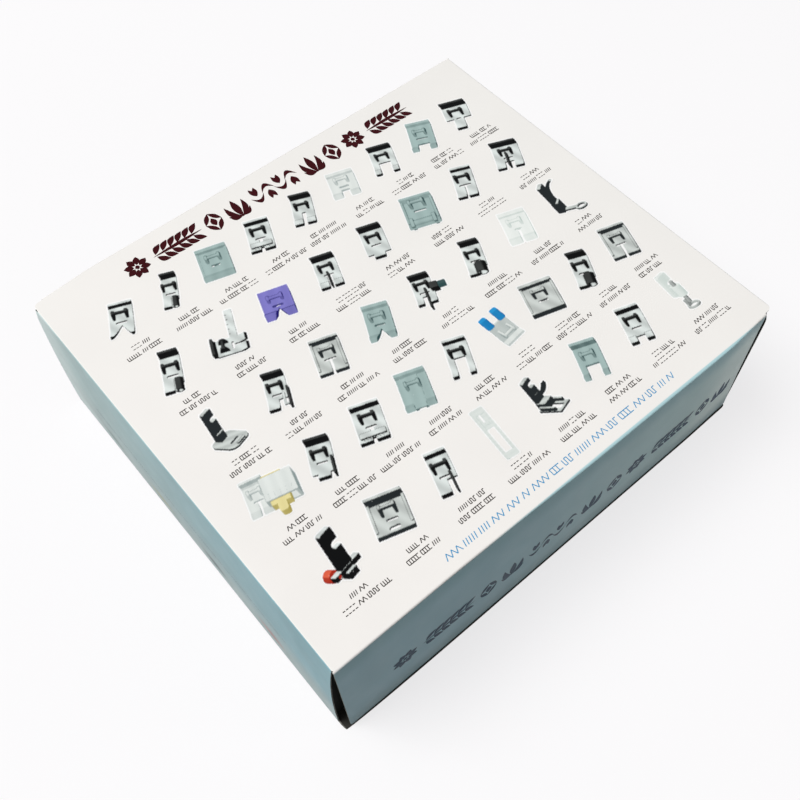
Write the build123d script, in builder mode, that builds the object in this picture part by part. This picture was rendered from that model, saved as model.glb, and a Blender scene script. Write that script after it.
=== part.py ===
from build123d import *

import os
from collections.abc import Callable
from dataclasses import dataclass
from enum import Enum
from math import cos, radians, sin, tan

# A paperboard tuck carton that holds presser feet for a sewing machine in three
# stacked vacuum-formed trays. Millimetres, +Z up. The origin is the centre of the
# carton's base, +X runs along the long front edge and the closure that the cover
# faces is at -Y.

# Carton
WIDTH = 200.0
DEPTH = 175.0
HEIGHT = 65.0
BOARD = 0.5
CREASE_RADIUS = 0.4
EDGE_BOW = 5.2  # how far a side panel's end edge curves back towards its foot
SEAM_WIDTH = 14.0
SEAM_SHORT = 8.5  # the glued seam stops this far short of each open end

# Closure panels and their tuck tabs
FOLD_GAP = 0.1
CLOSURE_GAP_TOP = 0.5
CLOSURE_GAP_FOOT = 1.7
CLOSURE_CORNER = 1.5
TAB_LENGTH = 15.0
TAB_LIFT = 1.1  # clear height under a tucked tab
TAB_SIDE_GAP = 4.0
TAB_CORNER = 8.0
TAB_FOLD_GAP = 0.05

# Dust flaps
FLAP_BEHIND_BOW = 0.3
FLAP_LENGTH = 50.0
FLAP_TAPER = 30.0
FLAP_LOWER_TAPER = 5.0
FLAP_TOP_GAP = 2.0
FLAP_FOOT_GAP = 2.5
FLAP_CORNER = 4.0
FLAP_FOLD_GAP = 0.1

# Trays
TRAY_SHEET = 0.6
TRAY_SIDE_GAP = 1.0  # between a tray and the glued seam
TRAY_END_GAP = 1.0  # between a tray and a dust flap
TRAY_CORNER = 4.0
TRAY_OVER_TAB = 0.3
DEEP_TRAY_HEIGHT = 27.0
SHALLOW_TRAY_HEIGHT = 18.0
POCKET_WALL_GAP = 3.4
POCKET_CORNER = 5.0
POCKET_DRAFT = 3.0
POCKET_EDGE = 3.0  # rim left between the outer pockets and the tray's edge

# What every clip-on foot shares
SHEET = 1.6  # steel of a sole
BAR_RADIUS = 1.0
BAR_SPAN = 6.6
BAR_HEIGHT = 6.4
EAR_THICK = 1.3
EAR_LENGTH = 7.0
NEEDLE_SLOT = 1.9
TOE_RISE = 2.4
TOE_BEND = 5.0
HEEL_RISE = 4.6
HEEL_BEND = 3.4
FOOT_TALL = 30.0  # taller than any foot, for cuts that go right through
SEAT_GAP = 0.05
RUNNING = 0.06  # radial clearance of a pin in its hole
LOOSE = 0.4  # between pieces that slide past each other

# What every low-shank foot shares
SHANK_WIDTH = 9.0
SHANK_THICK = 3.2
SHANK_HEIGHT = 34.0
SHANK_SLOT = 4.6
SHANK_SLOT_DEPTH = 6.0
SHANK_SLOT_HEIGHT = 24.0

# Worked out from the sizes above
INNER_FLOOR = BOARD
TAB_FOOT = BOARD + TAB_LIFT
TAB_TOP = TAB_FOOT + BOARD
FLAP_FACE = DEPTH / 2 - EDGE_BOW - FLAP_BEHIND_BOW
TRAY_WIDTH = WIDTH - 4 * BOARD - 2 * TRAY_SIDE_GAP
TRAY_DEPTH = 2 * (FLAP_FACE - BOARD - TRAY_END_GAP)
DEEP_TRAY_TOP = INNER_FLOOR + DEEP_TRAY_HEIGHT
MIDDLE_TRAY_TOP = DEEP_TRAY_TOP + SHALLOW_TRAY_HEIGHT


def write(part: Part, name: str) -> None:
    """Label a finished piece and write it as its own file."""
    part.label = name
    export_step(part, f"parts/{name}.step")


# Planes of the carton and of a foot


def end_plane(end: int) -> Plane:
    """The outer plane of an open end, -1 at the front and +1 at the rear, with local Y up."""
    return Plane(origin=(0, end * DEPTH / 2, 0), x_dir=(-end, 0, 0), z_dir=(0, end, 0))


def side_of(seat: Plane, across: float = 0) -> Plane:
    """The plane that cuts a foot lengthwise: local X to the heel, local Y up."""
    origin = seat.from_local_coords((across, 0, 0))
    return Plane(origin=origin, x_dir=seat.y_dir, z_dir=seat.x_dir)


def front_of(seat: Plane, along: float = 0) -> Plane:
    """The plane that cuts a foot crosswise: local X across, local Y up, facing the toe."""
    origin = seat.from_local_coords((0, along, 0))
    return Plane(origin=origin, x_dir=seat.x_dir, z_dir=-seat.y_dir)


# The carton


def build_sleeve() -> None:
    """Top, bottom and side panels of the carton, with the glued seam inside the right one."""
    with BuildPart() as sleeve:
        with BuildSketch(end_plane(-1)):
            with Locations((0, HEIGHT / 2)):
                Rectangle(WIDTH, HEIGHT)
                Rectangle(WIDTH - 2 * BOARD, HEIGHT - 2 * BOARD, mode=Mode.SUBTRACT)
        extrude(amount=-DEPTH)
        long_edges = sleeve.edges().filter_by(Axis.Y)
        fillet(long_edges.filter_by_position(Axis.X, -WIDTH / 2, -WIDTH / 2)
               + long_edges.filter_by_position(Axis.X, WIDTH / 2, WIDTH / 2), CREASE_RADIUS)
        # the end edges of both side panels curve back from the top crease to the base
        bow_top = HEIGHT - BOARD
        with BuildSketch(Plane.YZ):
            for end in (-1, 1):
                edge, bowed = end * DEPTH / 2, end * (DEPTH / 2 - EDGE_BOW)
                with BuildLine():
                    start, foot = (edge, bow_top), (bowed, BOARD)
                    middle = (edge - end * 0.72 * EDGE_BOW, bow_top - 0.4 * HEIGHT)
                    ThreePointArc(start, middle, foot)
                    Polyline(foot, (edge + end, BOARD), (edge + end, bow_top), start)
                make_face()
        extrude(amount=WIDTH, both=True, mode=Mode.SUBTRACT)
        with BuildSketch(Plane.YZ.offset(WIDTH / 2 - BOARD)):
            with Locations((0, BOARD + SEAM_WIDTH / 2)):
                Rectangle(DEPTH - 2 * SEAM_SHORT, SEAM_WIDTH)
        extrude(amount=-BOARD)
    write(sleeve.part, "carton_sleeve")


def build_closure(name: str, end: int) -> None:
    """One closure panel, slightly narrower at its foot than at its crease."""
    top = HEIGHT - BOARD - FOLD_GAP
    half_top = WIDTH / 2 - CLOSURE_GAP_TOP
    half_foot = WIDTH / 2 - CLOSURE_GAP_FOOT
    with BuildPart() as closure:
        with BuildSketch(end_plane(end)) as panel:
            with BuildLine():
                Polyline((-half_top, top), (-half_foot, TAB_FOOT), (half_foot, TAB_FOOT),
                         (half_top, top), close=True)
            make_face()
            fillet(panel.vertices().group_by(Axis.Z)[0], CLOSURE_CORNER)
        extrude(amount=-BOARD)
    write(closure.part, f"{name}_closure_panel")


def build_tuck_tab(name: str, end: int) -> None:
    """The tab on a closure's foot, tucked in above the bottom panel."""
    outer = DEPTH / 2 - BOARD - TAB_FOLD_GAP
    with BuildPart() as tab:
        with BuildSketch(Plane.XY.offset(TAB_FOOT)) as outline:
            with Locations((0, end * (outer - TAB_LENGTH / 2))):
                Rectangle(WIDTH - 2 * TAB_SIDE_GAP, TAB_LENGTH)
            inner = outline.vertices().group_by(Axis.Y)[0 if end > 0 else -1]
            fillet(inner, TAB_CORNER)
        extrude(amount=BOARD)
    write(tab.part, f"{name}_tuck_tab")


def build_dust_flap(name: str, end: int, hand: int) -> None:
    """A dust flap, hinged on a side panel and cut to a taper that clears the closure."""
    hinge = hand * (WIDTH / 2 - BOARD - FLAP_FOLD_GAP)
    tip = hinge - hand * FLAP_LENGTH
    top, foot = HEIGHT - BOARD - FLAP_TOP_GAP, BOARD + FLAP_FOOT_GAP
    tip_top = top - FLAP_LENGTH * tan(radians(FLAP_TAPER))
    tip_foot = foot + FLAP_LENGTH * tan(radians(FLAP_LOWER_TAPER))
    face = Plane(origin=(0, end * FLAP_FACE, 0), x_dir=(1, 0, 0), z_dir=(0, -1, 0))
    with BuildPart() as flap:
        with BuildSketch(face) as outline:
            with BuildLine():
                Polyline((hinge, foot), (tip, tip_foot), (tip, tip_top), (hinge, top), close=True)
            make_face()
            fillet(outline.vertices().sort_by_distance((0, end * FLAP_FACE, HEIGHT / 2))[:2],
                   FLAP_CORNER)
        extrude(amount=end * BOARD)
    write(flap.part, f"{name}_dust_flap_{'left' if hand < 0 else 'right'}")


# The trays


@dataclass
class Pocket:
    """One pocket of a tray: the centre of its mouth, its size and the height of its floor."""

    x: float
    y: float
    width: float
    depth: float
    floor: float

    def seat(self, turn: float = 0, lift: float = 0) -> Plane:
        """The plane on the pocket's floor, turned about +Z, on which a foot stands."""
        return Plane(origin=(self.x, self.y, self.floor + TRAY_SHEET + SEAT_GAP + lift),
                     x_dir=(cos(radians(turn)), sin(radians(turn)), 0))

    def lying_seat(self, half_width: float, reach: float, length: float) -> Plane:
        """The plane of a foot laid on its side, its shank along +X and its toe to the rear."""
        height = self.floor + TRAY_SHEET + SEAT_GAP + half_width
        return Plane(origin=(self.x - reach / 2, self.y - length / 2, height),
                     x_dir=(0, 0, 1), z_dir=(1, 0, 0))


def lay_out(rows: list[tuple[float, list[float]]], floors: list[float]) -> list[Pocket]:
    """Pockets for rows of (share of the tray's depth, shares of its width), front row first."""
    pockets = []
    span_y = TRAY_DEPTH - 2 * POCKET_EDGE
    row_start = -span_y / 2
    total = sum(share for share, _ in rows)
    for (share, widths), floor in zip(rows, floors):
        row = span_y * share / total
        span_x = TRAY_WIDTH - 2 * POCKET_EDGE
        cell_start = -span_x / 2
        for width in widths:
            cell = span_x * width / sum(widths)
            pockets.append(Pocket(cell_start + cell / 2, row_start + row / 2,
                                  cell - POCKET_WALL_GAP, row - POCKET_WALL_GAP, floor))
            cell_start += cell
        row_start += row
    return pockets


def build_tray(name: str, pockets: list[Pocket], top: float, skirt_foot: float) -> None:
    """A vacuum-formed sheet: a flat rim, an outer skirt and a drafted tub for each pocket."""
    with BuildPart() as tray:
        with BuildSketch(Plane.XY.offset(top - TRAY_SHEET)):
            RectangleRounded(TRAY_WIDTH, TRAY_DEPTH, TRAY_CORNER)
        extrude(amount=TRAY_SHEET)
        with BuildSketch(Plane.XY.offset(skirt_foot)):
            RectangleRounded(TRAY_WIDTH, TRAY_DEPTH, TRAY_CORNER)
            RectangleRounded(TRAY_WIDTH - 2 * TRAY_SHEET, TRAY_DEPTH - 2 * TRAY_SHEET,
                             TRAY_CORNER - TRAY_SHEET, mode=Mode.SUBTRACT)
        extrude(amount=top - TRAY_SHEET - skirt_foot)
        for pocket in pockets:
            with BuildSketch(Plane.XY.offset(top)):
                with Locations((pocket.x, pocket.y)):
                    RectangleRounded(pocket.width + 2 * TRAY_SHEET,
                                     pocket.depth + 2 * TRAY_SHEET, POCKET_CORNER + TRAY_SHEET)
            extrude(amount=pocket.floor - top, taper=POCKET_DRAFT)
        for pocket in pockets:
            with BuildSketch(Plane.XY.offset(top)):
                with Locations((pocket.x, pocket.y)):
                    RectangleRounded(pocket.width, pocket.depth, POCKET_CORNER)
            extrude(amount=pocket.floor + TRAY_SHEET - top, taper=POCKET_DRAFT,
                    mode=Mode.SUBTRACT)
    write(tray.part, name)


# Clip-on feet


class Toe(Enum):
    """How the front of a sole is cut."""

    PLAIN = "plain"
    SLOT = "narrow slot"
    OPEN = "open between two toes"
    SWALLOWTAIL = "two pointed toes"
    CENTRE = "one centre toe"
    LEFT = "one toe on the left"


@dataclass
class ClipOn:
    """A clip-on foot: its sole, its toe cut and what else stands on it."""

    name: str
    width: float
    length: float
    toe: Toe = Toe.SLOT
    gap: float = 2.0
    depth: float = 9.0
    needle: float = 7.0
    needle_place: float = -2.0
    bar_place: float = 4.0
    thick: float = SHEET
    heel_rise: float = HEEL_RISE
    extras: tuple[Callable[[Plane, "ClipOn"], None], ...] = ()

    @property
    def front(self) -> float:
        """Where the toe ends, along the foot."""
        return -self.length / 2

    @property
    def rear(self) -> float:
        """Where the heel ends, along the foot."""
        return self.length / 2


def sole_strip(seat: Plane, foot: ClipOn) -> None:
    """The bent strip of the sole, flat between its raised toe and heel."""
    with BuildSketch(side_of(seat)) as profile:
        with BuildLine():
            toe_foot = (foot.front + TOE_BEND, 0)
            heel_foot = (foot.rear - HEEL_BEND, 0)
            Polyline((foot.front + foot.thick, TOE_RISE + foot.thick), (foot.front, TOE_RISE))
            RadiusArc((foot.front, TOE_RISE), toe_foot, -2 * TOE_BEND)
            Line(toe_foot, heel_foot)
            Polyline(heel_foot, (foot.rear - foot.thick, foot.heel_rise / 3),
                     (foot.rear, foot.heel_rise), (foot.rear - foot.thick, foot.heel_rise),
                     (foot.rear - HEEL_BEND, foot.thick),
                     (foot.front + TOE_BEND + 1, foot.thick),
                     (foot.front + foot.thick, TOE_RISE + foot.thick))
        make_face()
    extrude(profile.sketch, amount=foot.width / 2, both=True)


def toe_cut(seat: Plane, foot: ClipOn) -> None:
    """Cut the front of the sole to its kind of toe, and the needle's slot behind it."""
    half, deep = foot.width / 2, foot.front + foot.depth
    with BuildSketch(seat.offset(-1)) as cut:
        if foot.toe in (Toe.SLOT, Toe.OPEN):
            with Locations((0, foot.front)):
                Rectangle(foot.gap, 2 * foot.depth)
        if foot.toe is Toe.SWALLOWTAIL:
            with BuildLine():
                Polyline((0, deep), (-foot.gap, foot.front - 1), (foot.gap, foot.front - 1),
                         close=True)
            make_face()
        if foot.toe is Toe.CENTRE:
            for hand in (-1, 1):
                with Locations((hand * (half + foot.gap / 2), foot.front)):
                    Rectangle(foot.width, 2 * foot.depth)
        if foot.toe is Toe.LEFT:
            with Locations((half, foot.front)):
                Rectangle(foot.width, 2 * foot.depth)
        if foot.needle:
            with Locations((0, foot.needle_place)):
                SlotOverall(foot.needle, NEEDLE_SLOT)
        if foot.toe is Toe.SLOT:
            with Locations((0, (foot.needle_place + deep) / 2)):
                Rectangle(foot.gap, abs(foot.needle_place - deep) + NEEDLE_SLOT / 2)
    extrude(cut.sketch, amount=FOOT_TALL, mode=Mode.SUBTRACT)


def snap_bar(seat: Plane, foot: ClipOn) -> None:
    """The two ears and the cross bar that the shank snaps onto."""
    for hand in (-1, 1):
        with BuildSketch(side_of(seat, hand * (BAR_SPAN + EAR_THICK) / 2)) as shape:
            with BuildLine():
                base_front = (foot.bar_place - EAR_LENGTH / 2, foot.thick / 2)
                base_rear = (foot.bar_place + EAR_LENGTH / 2, foot.thick / 2)
                top_front = (foot.bar_place - EAR_LENGTH / 4, BAR_HEIGHT + BAR_RADIUS)
                top_rear = (foot.bar_place + EAR_LENGTH / 4, BAR_HEIGHT + BAR_RADIUS)
                Polyline(top_rear, base_rear, base_front, top_front)
                RadiusArc(top_front, top_rear, EAR_LENGTH / 3)
            make_face()
        extrude(shape.sketch, amount=EAR_THICK / 2, both=True)
    with BuildSketch(side_of(seat)) as shape:
        with Locations((foot.bar_place, BAR_HEIGHT)):
            Circle(BAR_RADIUS)
    extrude(shape.sketch, amount=BAR_SPAN / 2 + EAR_THICK, both=True)


def build_clip_on(foot: ClipOn, seat: Plane) -> None:
    """Build one clip-on foot on its seat."""
    with BuildPart() as piece:
        sole_strip(seat, foot)
        toe_cut(seat, foot)
        snap_bar(seat, foot)
        for extra in foot.extras:
            extra(seat, foot)
    write(piece.part, foot.name)


# What stands on or is cut into a sole


def block(seat: Plane, x: float, y: float, width: float, length: float, height: float,
          foot: float = 0, mode: Mode = Mode.ADD) -> None:
    """A rectangular block of the given height, standing `foot` above the seat."""
    with BuildSketch(seat.offset(foot)) as outline:
        with Locations((x, y)):
            Rectangle(width, length)
    extrude(outline.sketch, amount=height, mode=mode)


HEEL_GRIP_RISE = 3.4  # of the grip above the heel
PAD_PLACE = 4.5  # of a toe pad's centre behind the toe
PAD_LENGTH = 4.0
PAD_HEIGHT = 3.6


def heel_grip(seat: Plane, foot: ClipOn) -> None:
    """A raised bar across the heel."""
    grip_foot = 1.0
    block(seat, 0, foot.rear - foot.thick, foot.width, foot.thick,
          foot.heel_rise + HEEL_GRIP_RISE - grip_foot, foot=grip_foot)


def toe_pads(seat: Plane, foot: ClipOn) -> None:
    """A thick pad on each toe's tip."""
    width = (foot.width - foot.gap) / 2
    for hand in (-1, 1):
        block(seat, hand * (foot.gap + width) / 2, foot.front + PAD_PLACE, width, PAD_LENGTH,
              PAD_HEIGHT)


def ruler_arm(reach: float) -> Callable[[Plane, ClipOn], None]:
    """A flat measuring arm to the right of the sole, with a notch at each fifth of it."""

    def add(seat: Plane, foot: ClipOn) -> None:
        arm_width, arm_thick, notch_width, notch_depth = 5.0, 1.2, 0.8, 1.2
        start, place = foot.width / 2 - 1, foot.front + 9
        block(seat, start + reach / 2, place, reach, arm_width, arm_thick)
        for n in range(1, 6):
            block(seat, start + reach * n / 6, place + arm_width / 2, notch_width,
                  2 * notch_depth, FOOT_TALL, foot=-1, mode=Mode.SUBTRACT)

    return add


def cord_holes(count: int) -> Callable[[Plane, ClipOn], None]:
    """A raised block at the toe with a row of cord holes through it."""

    def add(seat: Plane, foot: ClipOn) -> None:
        length, height, place = 3.4, 4.4, foot.front + 6.5
        hole_radius, hole_drop = 0.55, 1.6
        pitch = (foot.width - 4) / count
        block(seat, 0, place, foot.width - 2, length, height)
        with BuildSketch(front_of(seat, place)) as holes:
            with Locations((0, height - hole_drop)):
                with GridLocations(pitch, 0, count, 1):
                    Circle(hole_radius)
        extrude(holes.sketch, amount=length, both=True, mode=Mode.SUBTRACT)

    return add


def grooves(count: int, pitch: float, radius: float) -> Callable[[Plane, ClipOn], None]:
    """Parallel grooves along the underside."""

    def add(seat: Plane, foot: ClipOn) -> None:
        with BuildSketch(front_of(seat)) as runs:
            with GridLocations(pitch, 0, count, 1):
                Circle(radius)
        extrude(runs.sketch, amount=foot.length, both=True, mode=Mode.SUBTRACT)

    return add


def guide_blade(place: float, height: float) -> Callable[[Plane, ClipOn], None]:
    """An upright blade along the foot that the fabric's edge follows."""

    def add(seat: Plane, foot: ClipOn) -> None:
        thick, run, centre = 0.9, 13.0, foot.front + 8
        block(seat, place, centre, thick, run, height)

    return add


def hem_scroll(size: float) -> Callable[[Plane, ClipOn], None]:
    """The curled tongue of a hemmer, an open ring drawn out along the toe."""

    def add(seat: Plane, foot: ClipOn) -> None:
        wall, length = 0.8, 9.0
        outer = size / 2 + wall
        with BuildSketch(front_of(seat, foot.front + 1)) as ring:
            with Locations((foot.width / 2 - outer, foot.thick + outer - wall)):
                Circle(outer)
                Circle(outer - wall, mode=Mode.SUBTRACT)
                with Locations((-outer, outer / 2)):
                    Rectangle(outer, outer / 2, mode=Mode.SUBTRACT)
        extrude(ring.sketch, amount=-length)

    return add


def slot_wire(seat: Plane, foot: ClipOn) -> None:
    """The thin bar that an overcast stitch forms over, carried by a side plate."""
    plate_thick, plate_run, plate_height = 1.2, 16.0, 5.0
    wire, wire_run, wire_foot, wire_inset = 1.2, 10.0, 3.6, 2.4
    side = foot.width / 2
    block(seat, side + plate_thick / 2, foot.front + 9, plate_thick, plate_run, plate_height)
    block(seat, side - 1.0, foot.front + 3, wire_inset + 1, wire, wire, foot=wire_foot)
    block(seat, side - wire_inset, foot.front + 7.5, wire, wire_run, wire, foot=wire_foot)


def tall_fin(seat: Plane, foot: ClipOn) -> None:
    """The tall centre fin that loops of thread are thrown over."""
    thick, run, height = 1.0, 14.0, 7.0
    block(seat, 0, foot.front + 9, thick, run, height)


def cross_channel(width: float) -> Callable[[Plane, ClipOn], None]:
    """A wide channel along the underside, under a raised ridge of the same run."""

    def add(seat: Plane, foot: ClipOn) -> None:
        ridge_height, channel_height = 2.6, 1.5
        block(seat, 0, 0, width + 2 * SHEET, foot.length - 2, ridge_height)
        block(seat, 0, 0, width, foot.length + 2, 2 * channel_height, foot=-channel_height,
              mode=Mode.SUBTRACT)

    return add


def braid_hole(seat: Plane, foot: ClipOn) -> None:
    """The hole that a braid is fed down through."""
    length, width, place = 7.0, 3.2, foot.front + 5.5
    with BuildSketch(seat.offset(-1)) as hole:
        with Locations((0, place)):
            SlotOverall(length, width)
    extrude(hole.sketch, amount=FOOT_TALL, mode=Mode.SUBTRACT)


def side_rails(seat: Plane, foot: ClipOn) -> None:
    """Rolled edges along both sides of a wide plate."""
    rail, height = 1.2, 3.4
    for hand in (-1, 1):
        block(seat, hand * (foot.width - rail) / 2, 1, rail, foot.length - 8, height)


def fork_tips(seat: Plane, foot: ClipOn) -> None:
    """Rubber sleeves on a button foot's two tines."""
    width = (foot.width - foot.gap) / 2
    wall, height, corner, centre = 0.6, 4.6, 1.8, 2.4
    for hand in (-1, 1):
        with BuildSketch(front_of(seat, foot.front + foot.depth - 1)) as sleeve:
            with Locations((hand * (foot.gap + width) / 2, centre)):
                RectangleRounded(width + 2 * wall, height, corner)
        extrude(sleeve.sketch, amount=foot.depth)


ROLLER_RADIUS = 2.3
ROLLER_LENGTH = 11.0
ROLLER_PIN_RADIUS = 0.9
ROLLER_PIN_LENGTH = 1.6
ROLLER_FORWARD = 4.2  # of the roller's axis behind the toe
ROLLER_HEIGHT = 3.0


def roller_cage(seat: Plane, foot: ClipOn) -> None:
    """A window in the sole with a cheek at each end of the roller."""
    axis_y = foot.front + ROLLER_FORWARD
    window = 2 * (ROLLER_RADIUS + LOOSE)
    half = ROLLER_LENGTH / 2 + LOOSE
    cheek, cheek_margin, cheek_height = 1.8, 0.8, 5.4
    block(seat, 0, axis_y, 2 * half, window, FOOT_TALL, foot=-1, mode=Mode.SUBTRACT)
    for hand in (-1, 1):
        block(seat, hand * (half + cheek / 2), axis_y, cheek, window + 2 * cheek_margin,
              cheek_height)
    with BuildSketch(side_of(seat)) as bore:
        with Locations((axis_y, ROLLER_HEIGHT)):
            Circle(ROLLER_PIN_RADIUS + RUNNING)
    extrude(bore.sketch, amount=half + ROLLER_PIN_LENGTH + LOOSE, both=True, mode=Mode.SUBTRACT)


def build_roller(seat: Plane, foot: ClipOn) -> None:
    """The front roller, turned in one piece with its pins and knurled by flats."""
    axis_y = foot.front + ROLLER_FORWARD
    with BuildPart() as roller:
        with BuildSketch(side_of(seat)):
            with Locations((axis_y, ROLLER_HEIGHT)):
                RegularPolygon(ROLLER_RADIUS, 16)
        extrude(amount=ROLLER_LENGTH / 2, both=True)
        with BuildSketch(side_of(seat)):
            with Locations((axis_y, ROLLER_HEIGHT)):
                Circle(ROLLER_PIN_RADIUS)
        extrude(amount=ROLLER_LENGTH / 2 + ROLLER_PIN_LENGTH, both=True)
    write(roller.part, "roller_foot_roller")


GUIDE_SCREW_RADIUS = 1.2
GUIDE_KNOB_RADIUS = 2.8
GUIDE_KNOB_LENGTH = 4.5
GUIDE_BOSS_LENGTH = 5.0
GUIDE_BOSS_SIZE = 5.4
GUIDE_HEIGHT = 4.4
GUIDE_SCREW_GAP = 0.5  # between the knob and its boss
GUIDE_BACK = 4.0  # of the screw's axis in front of the snap bar
GUIDE_PLATE_RUN = 18.0
GUIDE_PLATE_HEIGHT = 6.0


def guide_boss(seat: Plane, foot: ClipOn) -> None:
    """The boss on a sole's right side that the guide screw runs in, and the long guide plate."""
    start = foot.width / 2 - 1
    place = foot.bar_place - GUIDE_BACK
    block(seat, start + GUIDE_BOSS_LENGTH / 2, place, GUIDE_BOSS_LENGTH, GUIDE_BOSS_SIZE,
          GUIDE_HEIGHT + GUIDE_BOSS_SIZE / 2)
    block(seat, foot.gap / 2 - 0.9, foot.front + 5, 1.0, GUIDE_PLATE_RUN, GUIDE_PLATE_HEIGHT)
    with BuildSketch(side_of(seat, start - 1)) as bore:
        with Locations((place, GUIDE_HEIGHT)):
            Circle(GUIDE_SCREW_RADIUS + RUNNING)
    extrude(bore.sketch, amount=GUIDE_BOSS_LENGTH + 2, mode=Mode.SUBTRACT)


def build_guide_screw(seat: Plane, foot: ClipOn) -> None:
    """The knobbed screw that shifts the blind-stitch guide."""
    start = foot.width / 2 - 1
    boss_end = start + GUIDE_BOSS_LENGTH
    place = (foot.bar_place - GUIDE_BACK, GUIDE_HEIGHT)
    with BuildPart() as screw:
        with BuildSketch(side_of(seat, start + 0.5)):
            with Locations(place):
                Circle(GUIDE_SCREW_RADIUS)
        extrude(amount=boss_end + GUIDE_SCREW_GAP - start)
        with BuildSketch(side_of(seat, boss_end + GUIDE_SCREW_GAP)):
            with Locations(place):
                RegularPolygon(GUIDE_KNOB_RADIUS, 12)
        extrude(amount=GUIDE_KNOB_LENGTH)
    write(screw.part, "blind_stitch_guide_screw")


STITCH_GUIDE = ClipOn("stitch_guide_foot", 15, 25, Toe.SLOT, extras=(heel_grip, ruler_arm(28)))
ROLLER_FOOT = ClipOn("roller_foot", 19, 27, Toe.PLAIN, needle=8, needle_place=1.5, bar_place=7,
                     extras=(roller_cage, side_rails))
BLIND_STITCH = ClipOn("blind_stitch_foot", 13, 28, Toe.OPEN, gap=5, depth=9,
                      extras=(heel_grip, guide_boss))

TOP_TRAY_FEET = [
    STITCH_GUIDE,
    ClipOn("universal_foot", 14, 30, Toe.SWALLOWTAIL, gap=6.5, depth=11, heel_rise=3.4),
    ClipOn("open_toe_foot", 14, 32, Toe.OPEN, gap=7.5, depth=17, needle=0, heel_rise=3.6),
    ClipOn("zipper_foot", 17, 29, Toe.CENTRE, gap=6.5, depth=13, needle=3.6,
           extras=(heel_grip,)),
    ClipOn("button_foot", 15, 27, Toe.OPEN, gap=6.5, depth=9, needle=0, extras=(fork_tips,)),
    ClipOn("clear_zipper_foot", 17, 29, Toe.SLOT, thick=3.0, needle=5,
           extras=(grooves(2, 4.6, 1.5),)),
    ClipOn("clear_applique_foot", 18, 26, Toe.OPEN, gap=6, depth=8, thick=2.6),
    ClipOn("bead_foot", 18, 24, Toe.SWALLOWTAIL, gap=4.5, depth=8, thick=4.0,
           extras=(grooves(1, 1, 2.0),)),
    ClipOn("sewing_foot", 12, 32, Toe.LEFT, gap=4, depth=12, heel_rise=3.4,
           extras=(guide_blade(3.5, 5.0),)),
    ClipOn("satin_stitch_foot", 18, 32, Toe.OPEN, gap=9, depth=8, thick=2.2, needle=9),
    ClipOn("lace_roll_foot_6mm", 12, 31, Toe.LEFT, depth=9, extras=(heel_grip, hem_scroll(5.0))),
    ClipOn("zigzag_foot", 16, 30, Toe.SWALLOWTAIL, gap=5, depth=10, thick=2.4),
    ClipOn("embroidery_foot", 17, 32, Toe.OPEN, gap=9.5, depth=13, thick=2.2, needle=0,
           extras=(heel_grip,)),
    ClipOn("wide_opening_foot", 17, 31, Toe.OPEN, gap=9, depth=14, needle=0,
           extras=(heel_grip, toe_pads)),
    ClipOn("cording_foot", 15, 31, Toe.OPEN, gap=6, depth=7, extras=(toe_pads,)),
    ClipOn("quilting_foot", 15, 31, Toe.CENTRE, gap=7, depth=6, extras=(heel_grip,)),
    ClipOn("braiding_foot", 21, 27, Toe.PLAIN, extras=(heel_grip, braid_hole, side_rails)),
]

MIDDLE_TRAY_FEET = [
    ClipOn("standard_foot", 13, 31, Toe.SLOT, gap=1.6, depth=8, needle=8, heel_rise=3.4),
    ClipOn("straight_stitch_foot", 14, 31, Toe.SLOT, gap=3, depth=6, needle=0,
           extras=(heel_grip, toe_pads)),
    ClipOn("quilting_guide_foot", 14, 31, Toe.CENTRE, gap=7, depth=6,
           extras=(heel_grip, guide_blade(6.6, 6.0))),
    ClipOn("overcast_foot", 13, 31, Toe.LEFT, depth=10, extras=(heel_grip, slot_wire)),
    ClipOn("cording_foot_5_hole", 15, 30, Toe.SLOT, gap=2.4, depth=5, extras=(cord_holes(5),)),
    ClipOn("cording_foot_7_hole", 17, 30, Toe.SLOT, gap=2.4, depth=5, extras=(cord_holes(7),)),
    ClipOn("edge_joining_foot", 15, 31, Toe.SLOT, gap=3.4, depth=7,
           extras=(heel_grip, guide_blade(0, 5.5), toe_pads)),
    ClipOn("double_welting_foot", 22, 29, Toe.PLAIN, thick=2.2,
           extras=(side_rails, grooves(2, 6.6, 1.4))),
    ClipOn("invisible_zipper_foot", 19, 29, Toe.PLAIN, needle=6, thick=2.6,
           extras=(grooves(2, 5.0, 1.3), side_rails)),
    ClipOn("fringe_foot", 19, 29, Toe.OPEN, gap=7, depth=9, extras=(heel_grip, tall_fin)),
    ClipOn("narrow_hem_foot_3mm", 10, 33, Toe.LEFT, depth=9, extras=(heel_grip, hem_scroll(3.0))),
    ClipOn("wide_hem_foot_6mm", 13, 33, Toe.LEFT, depth=9, extras=(heel_grip, hem_scroll(6.0))),
    ClipOn("lace_roll_foot_3mm", 11, 33, Toe.LEFT, depth=8, extras=(heel_grip, hem_scroll(3.4))),
    ROLLER_FOOT,
    ClipOn("beading_foot", 19, 31, Toe.OPEN, gap=8, depth=7, thick=2.2, needle=8,
           extras=(cross_channel(4.6),)),
    ClipOn("pintuck_foot_7_groove", 18, 31, Toe.SLOT, gap=2, depth=6, needle=8,
           extras=(side_rails, grooves(7, 2.1, 0.7))),
    ClipOn("pintuck_foot_9_groove", 19, 31, Toe.SLOT, gap=2, depth=6, needle=8,
           extras=(side_rails, grooves(9, 1.7, 0.6))),
    BLIND_STITCH,
]


def loose_turn(index: int) -> float:
    """The few degrees by which a foot lies askew in its pocket."""
    return (index * 37) % 9 - 4


# Low-shank feet and the long feet of the deep tray


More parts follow.
